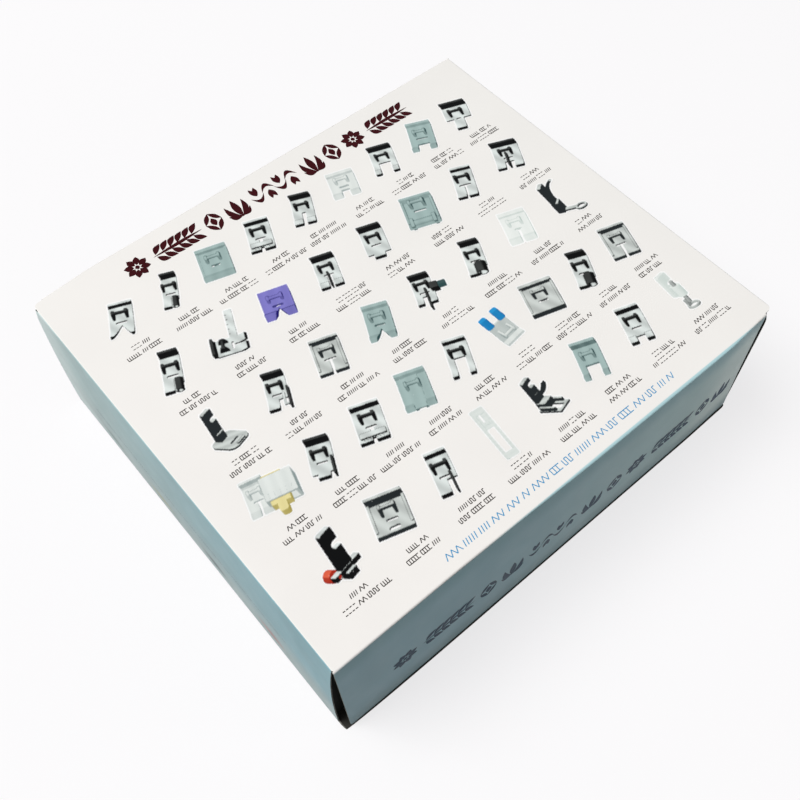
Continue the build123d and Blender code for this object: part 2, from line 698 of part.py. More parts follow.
def low_shank(seat: Plane, along: float, foot: float, top: float) -> None:
    """An upright shank with a side slot for the needle bar's screw."""
    with BuildSketch(front_of(seat, along + SHANK_THICK / 2)) as plate:
        with Locations((0, (foot + top) / 2)):
            RectangleRounded(SHANK_WIDTH, top - foot, 1.2)
        with Locations((SHANK_WIDTH / 2, SHANK_SLOT_HEIGHT)):
            SlotOverall(2 * SHANK_SLOT_DEPTH, SHANK_SLOT, mode=Mode.SUBTRACT)
    extrude(plate.sketch, amount=SHANK_THICK)


SHIRRING_WIDTH = 21.0
SHIRRING_LENGTH = 24.0
SHIRRING_CORNER = 6.0
SHIRRING_SHANK_PLACE = 8.0


def build_shirring_foot(seat: Plane) -> None:
    """A broad rounded sole with a wide slot, on a low shank behind it."""
    with BuildPart() as foot:
        with BuildSketch(seat):
            RectangleRounded(SHIRRING_WIDTH, SHIRRING_LENGTH, SHIRRING_CORNER)
            with Locations((0, -4)):
                SlotOverall(9.0, 2.4, mode=Mode.SUBTRACT)
        extrude(amount=SHEET)
        toe_lip = 1.6
        block(seat, 0, (toe_lip * 1.5 - SHIRRING_LENGTH) / 2, 8, toe_lip, 2 * toe_lip)
        block(seat, 0, SHIRRING_SHANK_PLACE, 7.0, 6.0, 9.0, foot=SHEET / 2)
        low_shank(seat, SHIRRING_SHANK_PLACE, 6.0, SHANK_HEIGHT)
    write(foot.part, "shirring_foot")


DARNING_RING = 5.0
DARNING_REACH = 16.0
DARNING_ARM_WIDTH = 4.4
LEVER_BOW = 26.0
LEVER_THICK = 3.2


def build_darning_lever_foot(seat: Plane) -> None:
    """A low-shank darning foot: a ring on a flat arm and a lever that rises over the clamp."""
    with BuildPart() as foot:
        with BuildSketch(seat):
            with Locations((0, -DARNING_REACH)):
                Circle(DARNING_RING)
            with Locations((0, -DARNING_REACH / 2)):
                Rectangle(DARNING_ARM_WIDTH, DARNING_REACH)
            with Locations((0, -DARNING_REACH)):
                Circle(DARNING_RING - 1.6, mode=Mode.SUBTRACT)
        extrude(amount=SHEET)
        block(seat, 0, 1.0, 8.0, 6.0, 12.0)
        low_shank(seat, 1.6, 10.0, SHANK_HEIGHT)
        with BuildSketch(side_of(seat)):
            with BuildLine():
                root_low, root_high = (1.0, SHANK_HEIGHT - 14), (1.0, SHANK_HEIGHT - 10)
                rise = (-2.0, SHANK_HEIGHT - 14)
                tip_low, tip_high = (-12.0, SHANK_HEIGHT + 4), (-10.6, SHANK_HEIGHT + 4.8)
                Line(root_low, rise)
                RadiusArc(rise, tip_low, -LEVER_BOW)
                Line(tip_low, tip_high)
                RadiusArc(tip_high, root_high, LEVER_BOW)
                Line(root_high, root_low)
            make_face()
        extrude(amount=LEVER_THICK / 2, both=True)
    write(foot.part, "darning_foot_low_shank")


SPRING_ROD_RADIUS = 1.5
SPRING_ROD_TOP = 27.0
SPRING_TRAVEL = 5.5
SPRING_YOKE_TOP = 6.0
SPRING_GUIDE_TOP = 22.0
SPRING_GUIDE_FOOT = SPRING_YOKE_TOP + SPRING_TRAVEL + LOOSE
SPRING_GUIDE_RADIUS = 3.6
RING_SHEET = 1.4
YOKE_THICK = 1.6
YOKE_WIDTH = 2.4


def build_darning_body(seat: Plane) -> None:
    """The body of the sprung darning foot: a low shank with a guide for the ring's rod."""
    rod_y = -SHANK_THICK / 2 - SPRING_GUIDE_RADIUS
    with BuildPart() as body:
        low_shank(seat, 0, SPRING_GUIDE_FOOT, SHANK_HEIGHT)
        with BuildSketch(seat.offset(SPRING_GUIDE_FOOT)):
            with Locations((0, rod_y)):
                Circle(SPRING_GUIDE_RADIUS)
            with Locations((0, rod_y / 2)):
                Rectangle(5.0, -rod_y)
            with Locations((0, rod_y)):
                Circle(SPRING_ROD_RADIUS + RUNNING, mode=Mode.SUBTRACT)
        extrude(amount=SPRING_GUIDE_TOP - SPRING_GUIDE_FOOT)
        block(seat, 0, 3.4, 1.6, 6.0, 1.6, foot=SHANK_HEIGHT - 4)
    write(body.part, "darning_foot")


def build_darning_ring(seat: Plane) -> None:
    """The darning foot's rod with its ring, which a spring holds down."""
    rod_y = -SHANK_THICK / 2 - SPRING_GUIDE_RADIUS
    with BuildPart() as ring:
        with BuildSketch(seat):
            with Locations((0, rod_y - 1)):
                Circle(DARNING_RING)
                Circle(DARNING_RING - RING_SHEET, mode=Mode.SUBTRACT)
        extrude(amount=RING_SHEET)
        yoke_foot = SPRING_YOKE_TOP - YOKE_THICK
        block(seat, 0, rod_y + DARNING_RING - 1.4, YOKE_WIDTH, 2.6, SPRING_YOKE_TOP)
        block(seat, 0, rod_y + 1.2, YOKE_WIDTH, 4.4, YOKE_THICK, foot=yoke_foot)
        with BuildSketch(seat.offset(yoke_foot)):
            with Locations((0, rod_y)):
                Circle(SPRING_ROD_RADIUS)
        extrude(amount=SPRING_ROD_TOP - yoke_foot)
    write(ring.part, "darning_foot_ring")


ZIPPER_RAIL = 20.0
THUMB_INSET = 3.0  # of the thumb screw's axis from the rail's end
THUMB_RADIUS = 3.6
THUMB_STEM_RADIUS = 1.2
THUMB_STEM_LENGTH = 5.0
THUMB_HEAD_LENGTH = 4.5
RAIL_FOOT = 7.0
RAIL_THICK = 3.0
RAIL_DEPTH = 3.6
THUMB_HEIGHT = RAIL_FOOT + RAIL_THICK / 2


def build_shank_zipper_foot(seat: Plane) -> None:
    """A low-shank zipper foot: shank, cross rail and a narrow toe with a notch each side."""
    with BuildPart() as foot:
        low_shank(seat, 0, 8.0, SHANK_HEIGHT)
        block(seat, 0, 0, ZIPPER_RAIL, RAIL_DEPTH, RAIL_THICK, foot=RAIL_FOOT)
        block(seat, 0, -1, 6.4, 6.0, 7.6)
        with BuildSketch(seat) as sole:
            with Locations((0, -7)):
                Rectangle(7.0, 22.0)
            for hand in (-1, 1):
                with Locations((hand * 3.5, -9)):
                    Circle(1.5, mode=Mode.SUBTRACT)
        extrude(sole.sketch, amount=SHEET)
        with BuildSketch(front_of(seat)):
            with Locations((THUMB_INSET - ZIPPER_RAIL / 2, THUMB_HEIGHT)):
                Circle(THUMB_STEM_RADIUS + RUNNING)
        extrude(amount=RAIL_DEPTH, both=True, mode=Mode.SUBTRACT)
    write(foot.part, "zipper_foot_low_shank")


def build_thumb_screw(seat: Plane) -> None:
    """The thumb screw that clamps the zipper foot on its rail."""
    place = (THUMB_INSET - ZIPPER_RAIL / 2, THUMB_HEIGHT)
    with BuildPart() as screw:
        with BuildSketch(front_of(seat, -1.4)):
            with Locations(place):
                Circle(THUMB_STEM_RADIUS)
        extrude(amount=-THUMB_STEM_LENGTH)
        with BuildSketch(front_of(seat, 2.4)):
            with Locations(place):
                RegularPolygon(THUMB_RADIUS, 10)
        extrude(amount=-THUMB_HEAD_LENGTH)
    write(screw.part, "zipper_foot_thumb_screw")


KNIT_WIDTH = 14.0
KNIT_LENGTH = 20.0
KNIT_JAW = 1.6
KNIT_JAW_HEIGHT = 5.0
KNIT_ARM_BOW = 30.0
KNIT_ARM_THICK = 4.0


def build_knit_foot(seat: Plane) -> None:
    """A knit foot: shank, sole with two side jaws, and the arm that rides on the clamp."""
    with BuildPart() as foot:
        low_shank(seat, 2, 7.0, SHANK_HEIGHT - 4)
        block(seat, 0, -1, 10.0, 9.0, 8.0)
        block(seat, 0, -7, KNIT_WIDTH, KNIT_LENGTH, SHEET)
        block(seat, 0, -9, 6.0, 12.0, 4.0, foot=-1, mode=Mode.SUBTRACT)
        for hand in (-1, 1):
            block(seat, hand * (KNIT_WIDTH - KNIT_JAW - 0.4) / 2, -6, KNIT_JAW, 14.0,
                  KNIT_JAW_HEIGHT)
        with BuildSketch(side_of(seat)):
            with BuildLine():
                root_low, root_high = (4.0, 10.0), (4.0, 14.0)
                tip_low, tip_high = (-15.0, 26.0), (-14.0, 28.0)
                Line(root_high, root_low)
                RadiusArc(root_low, tip_low, KNIT_ARM_BOW)
                Line(tip_low, tip_high)
                RadiusArc(tip_high, root_high, -KNIT_ARM_BOW)
            make_face()
        extrude(amount=KNIT_ARM_THICK / 2, both=True)
    write(foot.part, "knit_foot")


BUTTONHOLE_LENGTH = 104.0
BUTTONHOLE_WIDTH = 24.0
BUTTONHOLE_WALL = 2.0
BUTTONHOLE_HEIGHT = 8.0
BUTTONHOLE_LIP = 1.2
BUTTONHOLE_CORNER = 3.0
SCALE_PITCH = 6.0
SLIDER_LENGTH = 38.0
SLIDER_HEIGHT = 3.0
SLIDER_BAR_PLACE = 10.0
SLIDER_BAR_HEIGHT = 5.2


def build_buttonhole_frame(seat: Plane) -> None:
    """The long rectangular frame of the buttonhole foot, with a scale of notches on one rail."""
    inner_width = BUTTONHOLE_WIDTH - 2 * BUTTONHOLE_WALL
    inner_length = BUTTONHOLE_LENGTH - 4 * BUTTONHOLE_WALL
    with BuildPart() as frame:
        with BuildSketch(seat):
            RectangleRounded(BUTTONHOLE_LENGTH, BUTTONHOLE_WIDTH, BUTTONHOLE_CORNER)
            Rectangle(inner_length, inner_width, mode=Mode.SUBTRACT)
        extrude(amount=BUTTONHOLE_HEIGHT)
        for n in range(-4, 5):
            block(seat, n * SCALE_PITCH, BUTTONHOLE_WIDTH / 2, 0.8, 2.0, 2.0,
                  foot=BUTTONHOLE_HEIGHT - 1.0, mode=Mode.SUBTRACT)
        # a lip over each end holds the button
        for hand in (-1, 1):
            block(seat, hand * (inner_length / 2 - 4), 0, 8.4, inner_width + 1, BUTTONHOLE_LIP,
                  foot=BUTTONHOLE_HEIGHT - BUTTONHOLE_LIP)
    write(frame.part, "buttonhole_foot")


def slider_start() -> float:
    """Where the slider's centre rests: against the frame's left end, less the running gap."""
    return -(BUTTONHOLE_LENGTH - 4 * BUTTONHOLE_WALL) / 2 + SLIDER_LENGTH / 2 + LOOSE


def build_buttonhole_slider(seat: Plane) -> None:
    """The small foot that runs along inside the buttonhole frame."""
    width = BUTTONHOLE_WIDTH - 2 * BUTTONHOLE_WALL - 2 * LOOSE
    x = slider_start()
    with BuildPart() as slider:
        block(seat, x, 0, SLIDER_LENGTH, width, SLIDER_HEIGHT, foot=LOOSE)
        block(seat, x - 4, 0, 18.0, 6.0, 6.0, foot=-1, mode=Mode.SUBTRACT)
        bar_x = x + SLIDER_BAR_PLACE
        for hand in (-1, 1):
            block(seat, bar_x, hand * (BAR_SPAN + EAR_THICK) / 2, EAR_LENGTH, EAR_THICK,
                  SLIDER_BAR_HEIGHT + BAR_RADIUS - LOOSE, foot=LOOSE)
        with BuildSketch(front_of(seat)):
            with Locations((bar_x, SLIDER_BAR_HEIGHT)):
                Circle(BAR_RADIUS)
        extrude(amount=BAR_SPAN / 2 + EAR_THICK, both=True)
    write(slider.part, "buttonhole_foot_slider")


BINDER_LENGTH = 30.0
BINDER_BLOCK = 22.0
BINDER_BLOCK_HEIGHT = 12.0
BINDER_WALL = 1.4
BINDER_TRAVEL = 5.0
BINDER_GUIDE_HEIGHT = 7.0
BINDER_BLOCK_START = 6.0  # from the sole's centre line
BINDER_BLOCK_RUN = 20.0
BINDER_BLOCK_PLACE = -2.0


def build_bias_binder(seat: Plane) -> None:
    """The bias-tape binder: a clip-on sole beside a hollow block that folds the tape."""
    sole = ClipOn("bias_binder_sole", 15, BINDER_LENGTH)
    hollow = BINDER_BLOCK - 2 * BINDER_WALL
    with BuildPart() as binder:
        sole_strip(seat, sole)
        toe_cut(seat, sole)
        snap_bar(seat, sole)
        heel_grip(seat, sole)
        x = BINDER_BLOCK_START + BINDER_BLOCK / 2
        block(seat, x, BINDER_BLOCK_PLACE, BINDER_BLOCK, BINDER_BLOCK_RUN, BINDER_BLOCK_HEIGHT)
        block(seat, x, BINDER_BLOCK_PLACE, hollow, BINDER_BLOCK_RUN + 1,
              BINDER_BLOCK_HEIGHT - 2 * BINDER_WALL, foot=BINDER_WALL, mode=Mode.SUBTRACT)
        # a scale of shallow grooves on top
        for n in range(-2, 3):
            block(seat, x + 4 * n, -9, 0.7, 5.0, 2.0, foot=BINDER_BLOCK_HEIGHT - 0.5,
                  mode=Mode.SUBTRACT)
    write(binder.part, "bias_binder_foot")


def build_binder_guide(seat: Plane) -> None:
    """The tongue that slides inside the binder's block to set the tape's width."""
    inner = BINDER_BLOCK_START + BINDER_WALL + LOOSE
    room = BINDER_BLOCK - 2 * BINDER_WALL - 2 * LOOSE - BINDER_TRAVEL
    run = BINDER_BLOCK_RUN + 6
    with BuildPart() as guide:
        block(seat, inner + room / 2, BINDER_BLOCK_PLACE, room, run, BINDER_GUIDE_HEIGHT,
              foot=BINDER_WALL + LOOSE)
        with BuildSketch(seat.offset(BINDER_WALL + LOOSE)):
            with Locations((inner + room / 2, BINDER_BLOCK_PLACE - run / 2 - 3)):
                RectangleRounded(6.0, 8.0, 2.0)
        extrude(amount=BINDER_GUIDE_HEIGHT)
    write(guide.part, "bias_binder_guide")


# The whole kit

SHALLOW_ROWS = [(1, [1] * 6), (1, [1] * 6), (1, [1] * 5)]
FULL_ROWS = [(1, [1] * 6), (1, [1] * 6), (1, [1] * 6)]
DEEP_ROWS = [(1.0, [66, 62, 62]), (1.0, [62, 62, 62]), (0.75, [120, 60])]


def build_shallow_tray(name: str, feet: list[ClipOn], rows: list, floor: float) -> None:
    """One shallow tray with a clip-on foot in each pocket."""
    pockets = lay_out(rows, [floor] * len(rows))
    build_tray(name, pockets, floor + SHALLOW_TRAY_HEIGHT, floor)
    for index, (foot, pocket) in enumerate(zip(feet, pockets)):
        if foot is STITCH_GUIDE:
            # its arm points to the rear, so that it fits the pocket's long way
            seat = pocket.seat(90)
            seat = seat.shift_origin(seat.from_local_coords((-14, 0, 0)))
        elif foot is BLIND_STITCH:
            seat = pocket.seat()
            seat = seat.shift_origin(seat.from_local_coords((-4, 0, 0)))
            build_guide_screw(seat, foot)
        else:
            seat = pocket.seat(loose_turn(index) if foot is not ROLLER_FOOT else 0)
        if foot is ROLLER_FOOT:
            build_roller(seat, foot)
        build_clip_on(foot, seat)


def build_deep_tray() -> None:
    """The deep tray, with the long feet and the low-shank feet laid on their sides."""
    over_tab = TAB_TOP + TRAY_OVER_TAB
    pockets = lay_out(DEEP_ROWS, [over_tab, INNER_FLOOR, over_tab])
    # the sheet stays flat beside the buttonhole foot
    pockets.pop()
    build_tray("deep_tray", pockets, DEEP_TRAY_TOP, over_tab)
    binder, knit, lever, shirring, zipper, darning, buttonhole = pockets
    binder_seat = binder.seat()
    binder_seat = binder_seat.shift_origin(binder_seat.from_local_coords((-10, 2, 0)))
    build_bias_binder(binder_seat)
    build_binder_guide(binder_seat)
    build_knit_foot(knit.lying_seat(7.0, SHANK_HEIGHT, 14))
    build_darning_lever_foot(lever.lying_seat(DARNING_RING, SHANK_HEIGHT, 18))
    build_shirring_foot(shirring.lying_seat(SHIRRING_WIDTH / 2, SHANK_HEIGHT, 0))
    thumb_reach = ZIPPER_RAIL / 2 - THUMB_INSET + THUMB_RADIUS
    zipper_seat = zipper.lying_seat(max(ZIPPER_RAIL / 2, thumb_reach) + LOOSE, SHANK_HEIGHT, 10)
    build_shank_zipper_foot(zipper_seat)
    build_thumb_screw(zipper_seat)
    darning_seat = darning.lying_seat(DARNING_RING, SHANK_HEIGHT, 6)
    build_darning_body(darning_seat)
    build_darning_ring(darning_seat)
    frame_seat = buttonhole.seat()
    build_buttonhole_frame(frame_seat)
    build_buttonhole_slider(frame_seat)


def main() -> None:
    """Build and write every piece."""
    os.makedirs("parts", exist_ok=True)
    build_sleeve()
    for name, end in (("front", -1), ("rear", 1)):
        build_closure(name, end)
        build_tuck_tab(name, end)
        for hand in (-1, 1):
            build_dust_flap(name, end, hand)
    build_shallow_tray("top_tray", TOP_TRAY_FEET, SHALLOW_ROWS, MIDDLE_TRAY_TOP)
    build_shallow_tray("middle_tray", MIDDLE_TRAY_FEET, FULL_ROWS, DEEP_TRAY_TOP)
    build_deep_tray()


if __name__ == "__main__":
    main()
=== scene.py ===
"""Dresses a printed paperboard carton of presser feet for sewing machines.

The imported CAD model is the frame: its nodes say where every piece is. The plain boards are
replaced with creased, gently warped ones, the cover is printed, and the trays and feet inside
get their materials. Shapes are worked out in millimetres and become metres in the mesh.
"""

from __future__ import annotations

import logging
import math
from collections.abc import Callable, Sequence
from dataclasses import dataclass, field
from enum import Enum

import bmesh
import bpy
import numpy as np
from mathutils import Matrix, Vector


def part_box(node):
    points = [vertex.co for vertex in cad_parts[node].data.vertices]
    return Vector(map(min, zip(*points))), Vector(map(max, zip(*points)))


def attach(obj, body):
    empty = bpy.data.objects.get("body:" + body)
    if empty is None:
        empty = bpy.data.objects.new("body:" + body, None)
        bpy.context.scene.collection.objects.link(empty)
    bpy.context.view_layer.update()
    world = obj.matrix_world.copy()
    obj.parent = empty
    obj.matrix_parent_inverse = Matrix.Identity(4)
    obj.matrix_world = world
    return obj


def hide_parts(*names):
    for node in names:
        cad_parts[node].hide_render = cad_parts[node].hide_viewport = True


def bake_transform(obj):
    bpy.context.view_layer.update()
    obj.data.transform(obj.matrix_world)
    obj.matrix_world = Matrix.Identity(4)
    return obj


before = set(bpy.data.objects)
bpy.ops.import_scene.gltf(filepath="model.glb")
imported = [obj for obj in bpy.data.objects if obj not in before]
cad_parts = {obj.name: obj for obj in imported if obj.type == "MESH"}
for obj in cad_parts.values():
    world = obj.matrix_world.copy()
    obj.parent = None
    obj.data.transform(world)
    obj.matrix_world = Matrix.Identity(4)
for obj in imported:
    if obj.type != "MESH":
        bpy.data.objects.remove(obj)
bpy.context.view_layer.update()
LOG = logging.getLogger("presser_foot_carton")
MM = 0.001
Tree = bpy.types.NodeTree
Socket = bpy.types.NodeSocket
Point = tuple[float, float]


# Colours and shader nodes


def linear(colour: str) -> tuple[float, float, float, float]:
    """Turn an sRGB hex colour into linear RGBA.

    Args:
        colour: Six hex digits after a hash sign.

    Returns:
        Red, green, blue and an alpha of one.
    """
    channels = np.array([int(colour[i : i + 2], 16) / 255 for i in (1, 3, 5)])
    bright = ((channels + 0.055) / 1.055) ** 2.4
    red, green, blue = np.where(channels <= 0.04045, channels / 12.92, bright)
    return float(red), float(green), float(blue), 1.0


def smooth(values: np.ndarray, start: float = 0.0, end: float = 1.0) -> np.ndarray:
    """A smooth step from 0 at start to 1 at end: 3 t squared less 2 t cubed."""
    share = np.clip((values - start) / (end - start), 0, 1)
    return share * share * (3 - 2 * share)


def view_axes(azimuth: float, elevation: float, roll: float) -> np.ndarray:
    """Turn a view's angles in degrees into rows: to its right, upwards, and towards the viewer."""
    a, e, r = (math.radians(angle) for angle in (azimuth, elevation, roll))
    near = np.array([math.sin(a) * math.cos(e), -math.cos(a) * math.cos(e), math.sin(e)])
    level = np.array([math.cos(a), math.sin(a), 0.0])
    right = math.cos(r) * level - math.sin(r) * np.cross(near, level)
    return np.stack([right, np.cross(near, right), near])


def new_object(name: str, data: bpy.types.ID) -> bpy.types.Object:
    """Make an object of a mesh, a lamp or a camera and put it into the scene."""
    made = bpy.data.objects.new(name, data)
    bpy.context.scene.collection.objects.link(made)
    return made


def empty_tree(owner: bpy.types.Material | bpy.types.World) -> Tree:
    """Switch on the nodes of a material or a world, and clear them."""
    owner.use_nodes = True
    owner.node_tree.nodes.clear()
    return owner.node_tree


def add(tree: Tree, kind: str, inputs: dict | None = None, **settings) -> bpy.types.Node:
    """Add one shader node with its settings and links.

    Args:
        tree: The node tree that gets the node.
        kind: The node's type without its "ShaderNode" prefix.
        inputs: Socket name or number to a value, or to the socket that feeds it.
        **settings: Attributes of the node itself.

    Returns:
        The new node.
    """
    made = tree.nodes.new("ShaderNode" + kind)
    for name, value in settings.items():
        setattr(made, name, value)
    for socket, value in (inputs or {}).items():
        if isinstance(value, Socket):
            tree.links.new(value, made.inputs[socket])
        else:
            made.inputs[socket].default_value = value
    return made


def place_on(tree: Tree) -> Socket:
    """The place on a piece, in metres from the carton's origin."""
    return add(tree, "TexCoord").outputs["Object"]


def coordinate(tree: Tree, axis: str) -> Socket:
    """One coordinate of the place on a piece."""
    return add(tree, "SeparateXYZ", {0: place_on(tree)}).outputs[axis]


def off_middle(tree: Tree, axis: str) -> Socket:
    """How far the place on a piece lies from the carton's middle along an axis."""
    return add(tree, "Math", {0: coordinate(tree, axis)}, operation="ABSOLUTE").outputs[0]


def speckle(tree: Tree, size: float, detail: float = 3.0) -> Socket:
    """Soft noise from 0 to 1 whose blotches are `size` millimetres across."""
    inputs = {"Vector": place_on(tree), "Scale": 1 / (size * MM), "Detail": detail}
    return add(tree, "TexNoise", inputs).outputs[0]


def spread(
    tree: Tree, value: Socket, low: float, high: float,
    to_low: float = 0.0, to_high: float = 1.0,
) -> Socket:
    """Map a value's stretch from low to high smoothly onto another stretch, clamped."""
    inputs = {"Value": value, "From Min": low, "From Max": high, "To Min": to_low, "To Max": to_high}
    return add(tree, "MapRange", inputs, interpolation_type="SMOOTHSTEP").outputs["Result"]


def blend_colours(
    tree: Tree, share: Socket | float,
    first: Socket | str, second: Socket | str,
    way: str = "MIX",
) -> Socket:
    """Blend two colours, each a hex string or a socket, by a share from 0 to 1."""
    ends = [linear(end) if isinstance(end, str) else end for end in (first, second)]
    inputs = {"Factor": share, 6: ends[0], 7: ends[1]}
    return add(tree, "Mix", inputs, data_type="RGBA", blend_type=way).outputs[2]


def dimmed(tree: Tree, colour: Socket | str, tone: Socket) -> Socket:
    """A colour times a grey tone."""
    grey = add(tree, "CombineColor", {0: tone, 1: tone, 2: tone}).outputs[0]
    return blend_colours(tree, 1.0, colour, grey, "MULTIPLY")


def relief(
    tree: Tree, size: float, height: float, detail: float = 3.0, strength: float = 0.5,
    under: Socket | None = None,
) -> Socket:
    """Make a surface normal that rises and falls with soft noise.

    Args:
        tree: The node tree.
        size: Width of the noise's blotches, in millimetres.
        height: How far the surface rises, in millimetres.
        detail: How much finer noise lies on the blotches.
        strength: The share of the rise that shows.
        under: A normal that this one adds to.

    Returns:
        The normal.
    """
    inputs = {"Height": speckle(tree, size, detail), "Distance": height * MM, "Strength": strength}
    if under is not None:
        inputs["Normal"] = under
    return add(tree, "Bump", inputs).outputs[0]


def seen_rays(tree: Tree) -> Socket:
    """One for the camera's rays and those by way of a mirror or clear plastic, else zero."""
    path = add(tree, "LightPath").outputs
    seen = path["Is Camera Ray"]
    for kind in ("Is Glossy Ray", "Is Transmission Ray"):
        seen = add(tree, "Math", {0: seen, 1: path[kind]}, operation="MAXIMUM").outputs[0]
    return seen


# Finishes


class Finish:
    """A finish that makes its Blender material once and then hands out the same one."""

    name: str

    def wire(self, tree: Tree) -> Socket:
        """Build the shader and return its output socket."""
        raise NotImplementedError

    def material(self) -> bpy.types.Material:
        """Return the material of this finish, made at the first call."""
        found = bpy.data.materials.get(self.name)
        if found is not None:
            return found
        made = bpy.data.materials.new(self.name)
        tree = empty_tree(made)
        add(tree, "OutputMaterial", {"Surface": self.wire(tree)})
        return made


@dataclass(frozen=True)
class Wash:
    """A second colour, ink on some faces and painted light on others, that fades in along a line between
    two points in millimetres.
    """

    start: tuple[float, float, float]
    end: tuple[float, float, float]
    ink: str
    strength: float = 1.0

    def share(self, tree: Tree) -> Socket:
        """How much of the second colour there is: the place projected on the line, smoothed."""
        start = Vector(self.start) * MM
        run = Vector(self.end) * MM - start
        moved = add(tree, "VectorMath", {0: place_on(tree), 1: start}, operation="SUBTRACT").outputs[0]
        along = add(tree, "VectorMath", {0: moved, 1: run / run.length_squared}, operation="DOT_PRODUCT")
        return spread(tree, along.outputs["Value"], 0, 1, 0, self.strength)

    def share_at(self, points: np.ndarray) -> np.ndarray:
        """The same share at points in millimetres."""
        run = np.subtract(self.end, self.start)
        return self.strength * smooth((points - np.array(self.start)) @ run / (run @ run))[..., None]


@dataclass(frozen=True)
class CoatedBoard(Finish):
    """Folding boxboard, offset printed and varnished.

    The eye sees an even film of ink with faint mottle under a nearly matt varnish, and a slight
    waviness where the board's fibres lift the coat.
    """

    name: str
    ink: str
    washes: tuple[Wash, ...] = ()
    mottle: float = 0.05
    roughness: float = 0.42
    index: float = 1.12  # low, because this varnish hardly shines
    grain: float = 0.4  # millimetres, coarser than real fibres so that it shows
    waviness: float = 14.0
    patch: float = 23.0  # width of the mottle's patches

    def colour(self, tree: Tree) -> Socket:
        """The ink's colour under its washes."""
        colour = self.ink
        for wash in self.washes:
            colour = blend_colours(tree, wash.share(tree), colour, wash.ink)
        return colour

    def ink_at(self, points: np.ndarray) -> np.ndarray:
        """The same colour as linear RGBA at points in millimetres."""
        colour = np.array(linear(self.ink)) + np.zeros((*points.shape[:-1], 4))
        for wash in self.washes:
            colour = colour + wash.share_at(points) * (np.array(linear(wash.ink)) - colour)
        return colour

    def wire(self, tree: Tree) -> Socket:
        """Ink under a thin varnish, over board with a fine grain."""
        less, more = 1 - self.mottle, 1 + self.mottle / 3
        patches = spread(tree, speckle(tree, self.patch, 4.0), 0.3, 0.7, less, more)
        fine = spread(tree, speckle(tree, 0.9, 2.0), 0.2, 0.8, 1 - self.mottle / 3, 1.0)
        tone = add(tree, "Math", {0: patches, 1: fine}, operation="MULTIPLY").outputs[0]
        rough = spread(tree, speckle(tree, 6.0), 0.2, 0.8, self.roughness - 0.05, self.roughness + 0.06)
        wave = relief(tree, self.waviness, 0.05, detail=1.0)
        return add(tree, "BsdfPrincipled", {
            "Base Color": dimmed(tree, self.colour(tree), tone), "Roughness": rough, "IOR": self.index,
            "Normal": relief(tree, self.grain, 0.006, detail=2.0, under=wave),
        }).outputs[0]


@dataclass(frozen=True)
class WrappedCover(CoatedBoard):
    """The cover's white board, onto which the front's ink wraps over in a strip of uneven width."""

    wrap_ink: str = "#b3d5da"
    depth: float = 175.0
    widest: float = 1.1  # of the strip, at its right end, in millimetres from the carton's front
    narrowest: float = 0.7  # at its left end, where the fold is pressed in beyond it and stays white
    left: float = -85.0
    right: float = 60.0

    def colour(self, tree: Tree) -> Socket:
        """White, and the front's ink beyond a line that slants away from the crease."""
        low, high = self.narrowest * MM, self.widest * MM
        strip = spread(tree, coordinate(tree, "X"), self.left * MM, self.right * MM, low, high)
        over = add(tree, "Math", {0: strip, 1: coordinate(tree, "Y")}, operation="SUBTRACT").outputs[0]
        line = self.depth / 2
        share = spread(tree, over, (line - 0.35) * MM, (line + 0.25) * MM)
        return blend_colours(tree, share, super().colour(tree), self.wrap_ink)


@dataclass(frozen=True)
class ShadedFlapPrint(CoatedBoard):
    """A dust flap's ink, which gives way to painted shade, a near-black band, near the fold."""

    # painted shade: the dark gap beside the fold, where the closure shades the flap
    fold_shade: str = "#161816"
    printed_to: float = 93.0  # millimetres from the carton's middle
    fold_shade_from: float = 96.5

    def colour(self, tree: Tree) -> Socket:
        """The ink, and painted shade beyond a line near the fold."""
        share = spread(tree, off_middle(tree, "X"), self.printed_to * MM, self.fold_shade_from * MM)
        return blend_colours(tree, share, super().colour(tree), self.fold_shade)


@dataclass(frozen=True)
class PressInk(CoatedBoard):
    """Ink whose colour each mark of the print carries in its own attribute."""

    name: str = "press_ink"
    ink: str = "#ffffff"

    def colour(self, tree: Tree) -> Socket:
        """The colour that the print's mesh brings along."""
        return add(tree, "Attribute", attribute_name="ink").outputs["Color"]


@dataclass(frozen=True)
class RawBoard(Finish):
    """Uncoated back of recycled board: matt grey-brown with short dark and pale fibres."""

    name: str = "raw_grey_board"
    tone: str = "#6d6b64"
    dark_fibre: str = "#504f49"
    pale_fibre: str = "#8b8a81"
    fibre: float = 0.8  # millimetres, coarser than real fibres so that it shows

    def colour(self, tree: Tree) -> Socket:
        """Two layers of fibres over a flat tone."""
        dark = spread(tree, speckle(tree, self.fibre, 5.0), 0.55, 0.75)
        pale = spread(tree, speckle(tree, self.fibre * 1.7, 5.0), 0.58, 0.8)
        colour = blend_colours(tree, dark, self.tone, self.dark_fibre)
        return blend_colours(tree, pale, colour, self.pale_fibre)

    def wire(self, tree: Tree) -> Socket:
        """A matt surface with a slight rise of its fibres."""
        fibres = relief(tree, self.fibre / 2, 0.02, strength=0.6)
        inputs = {"Base Color": self.colour(tree), "Roughness": 0.88, "Normal": fibres}
        return add(tree, "BsdfPrincipled", inputs).outputs[0]


@dataclass(frozen=True)
class MouthBoard(RawBoard):
    """The same board inside the sleeve, with painted shade in a strip along its open ends."""

    name: str = "raw_board_shaded_at_mouth"
    # painted shade: the sleeve's mouth, which the closures shade, is near-black
    mouth_shade: str = "#24231f"
    unshaded_to: float = 77.0  # millimetres from the carton's middle
    mouth_shade_from: float = 83.0

    def colour(self, tree: Tree) -> Socket:
        """The fibres, and the painted shade beyond a line near each end."""
        share = spread(tree, off_middle(tree, "Y"), self.unshaded_to * MM, self.mouth_shade_from * MM)
        return blend_colours(tree, share, super().colour(tree), self.mouth_shade)


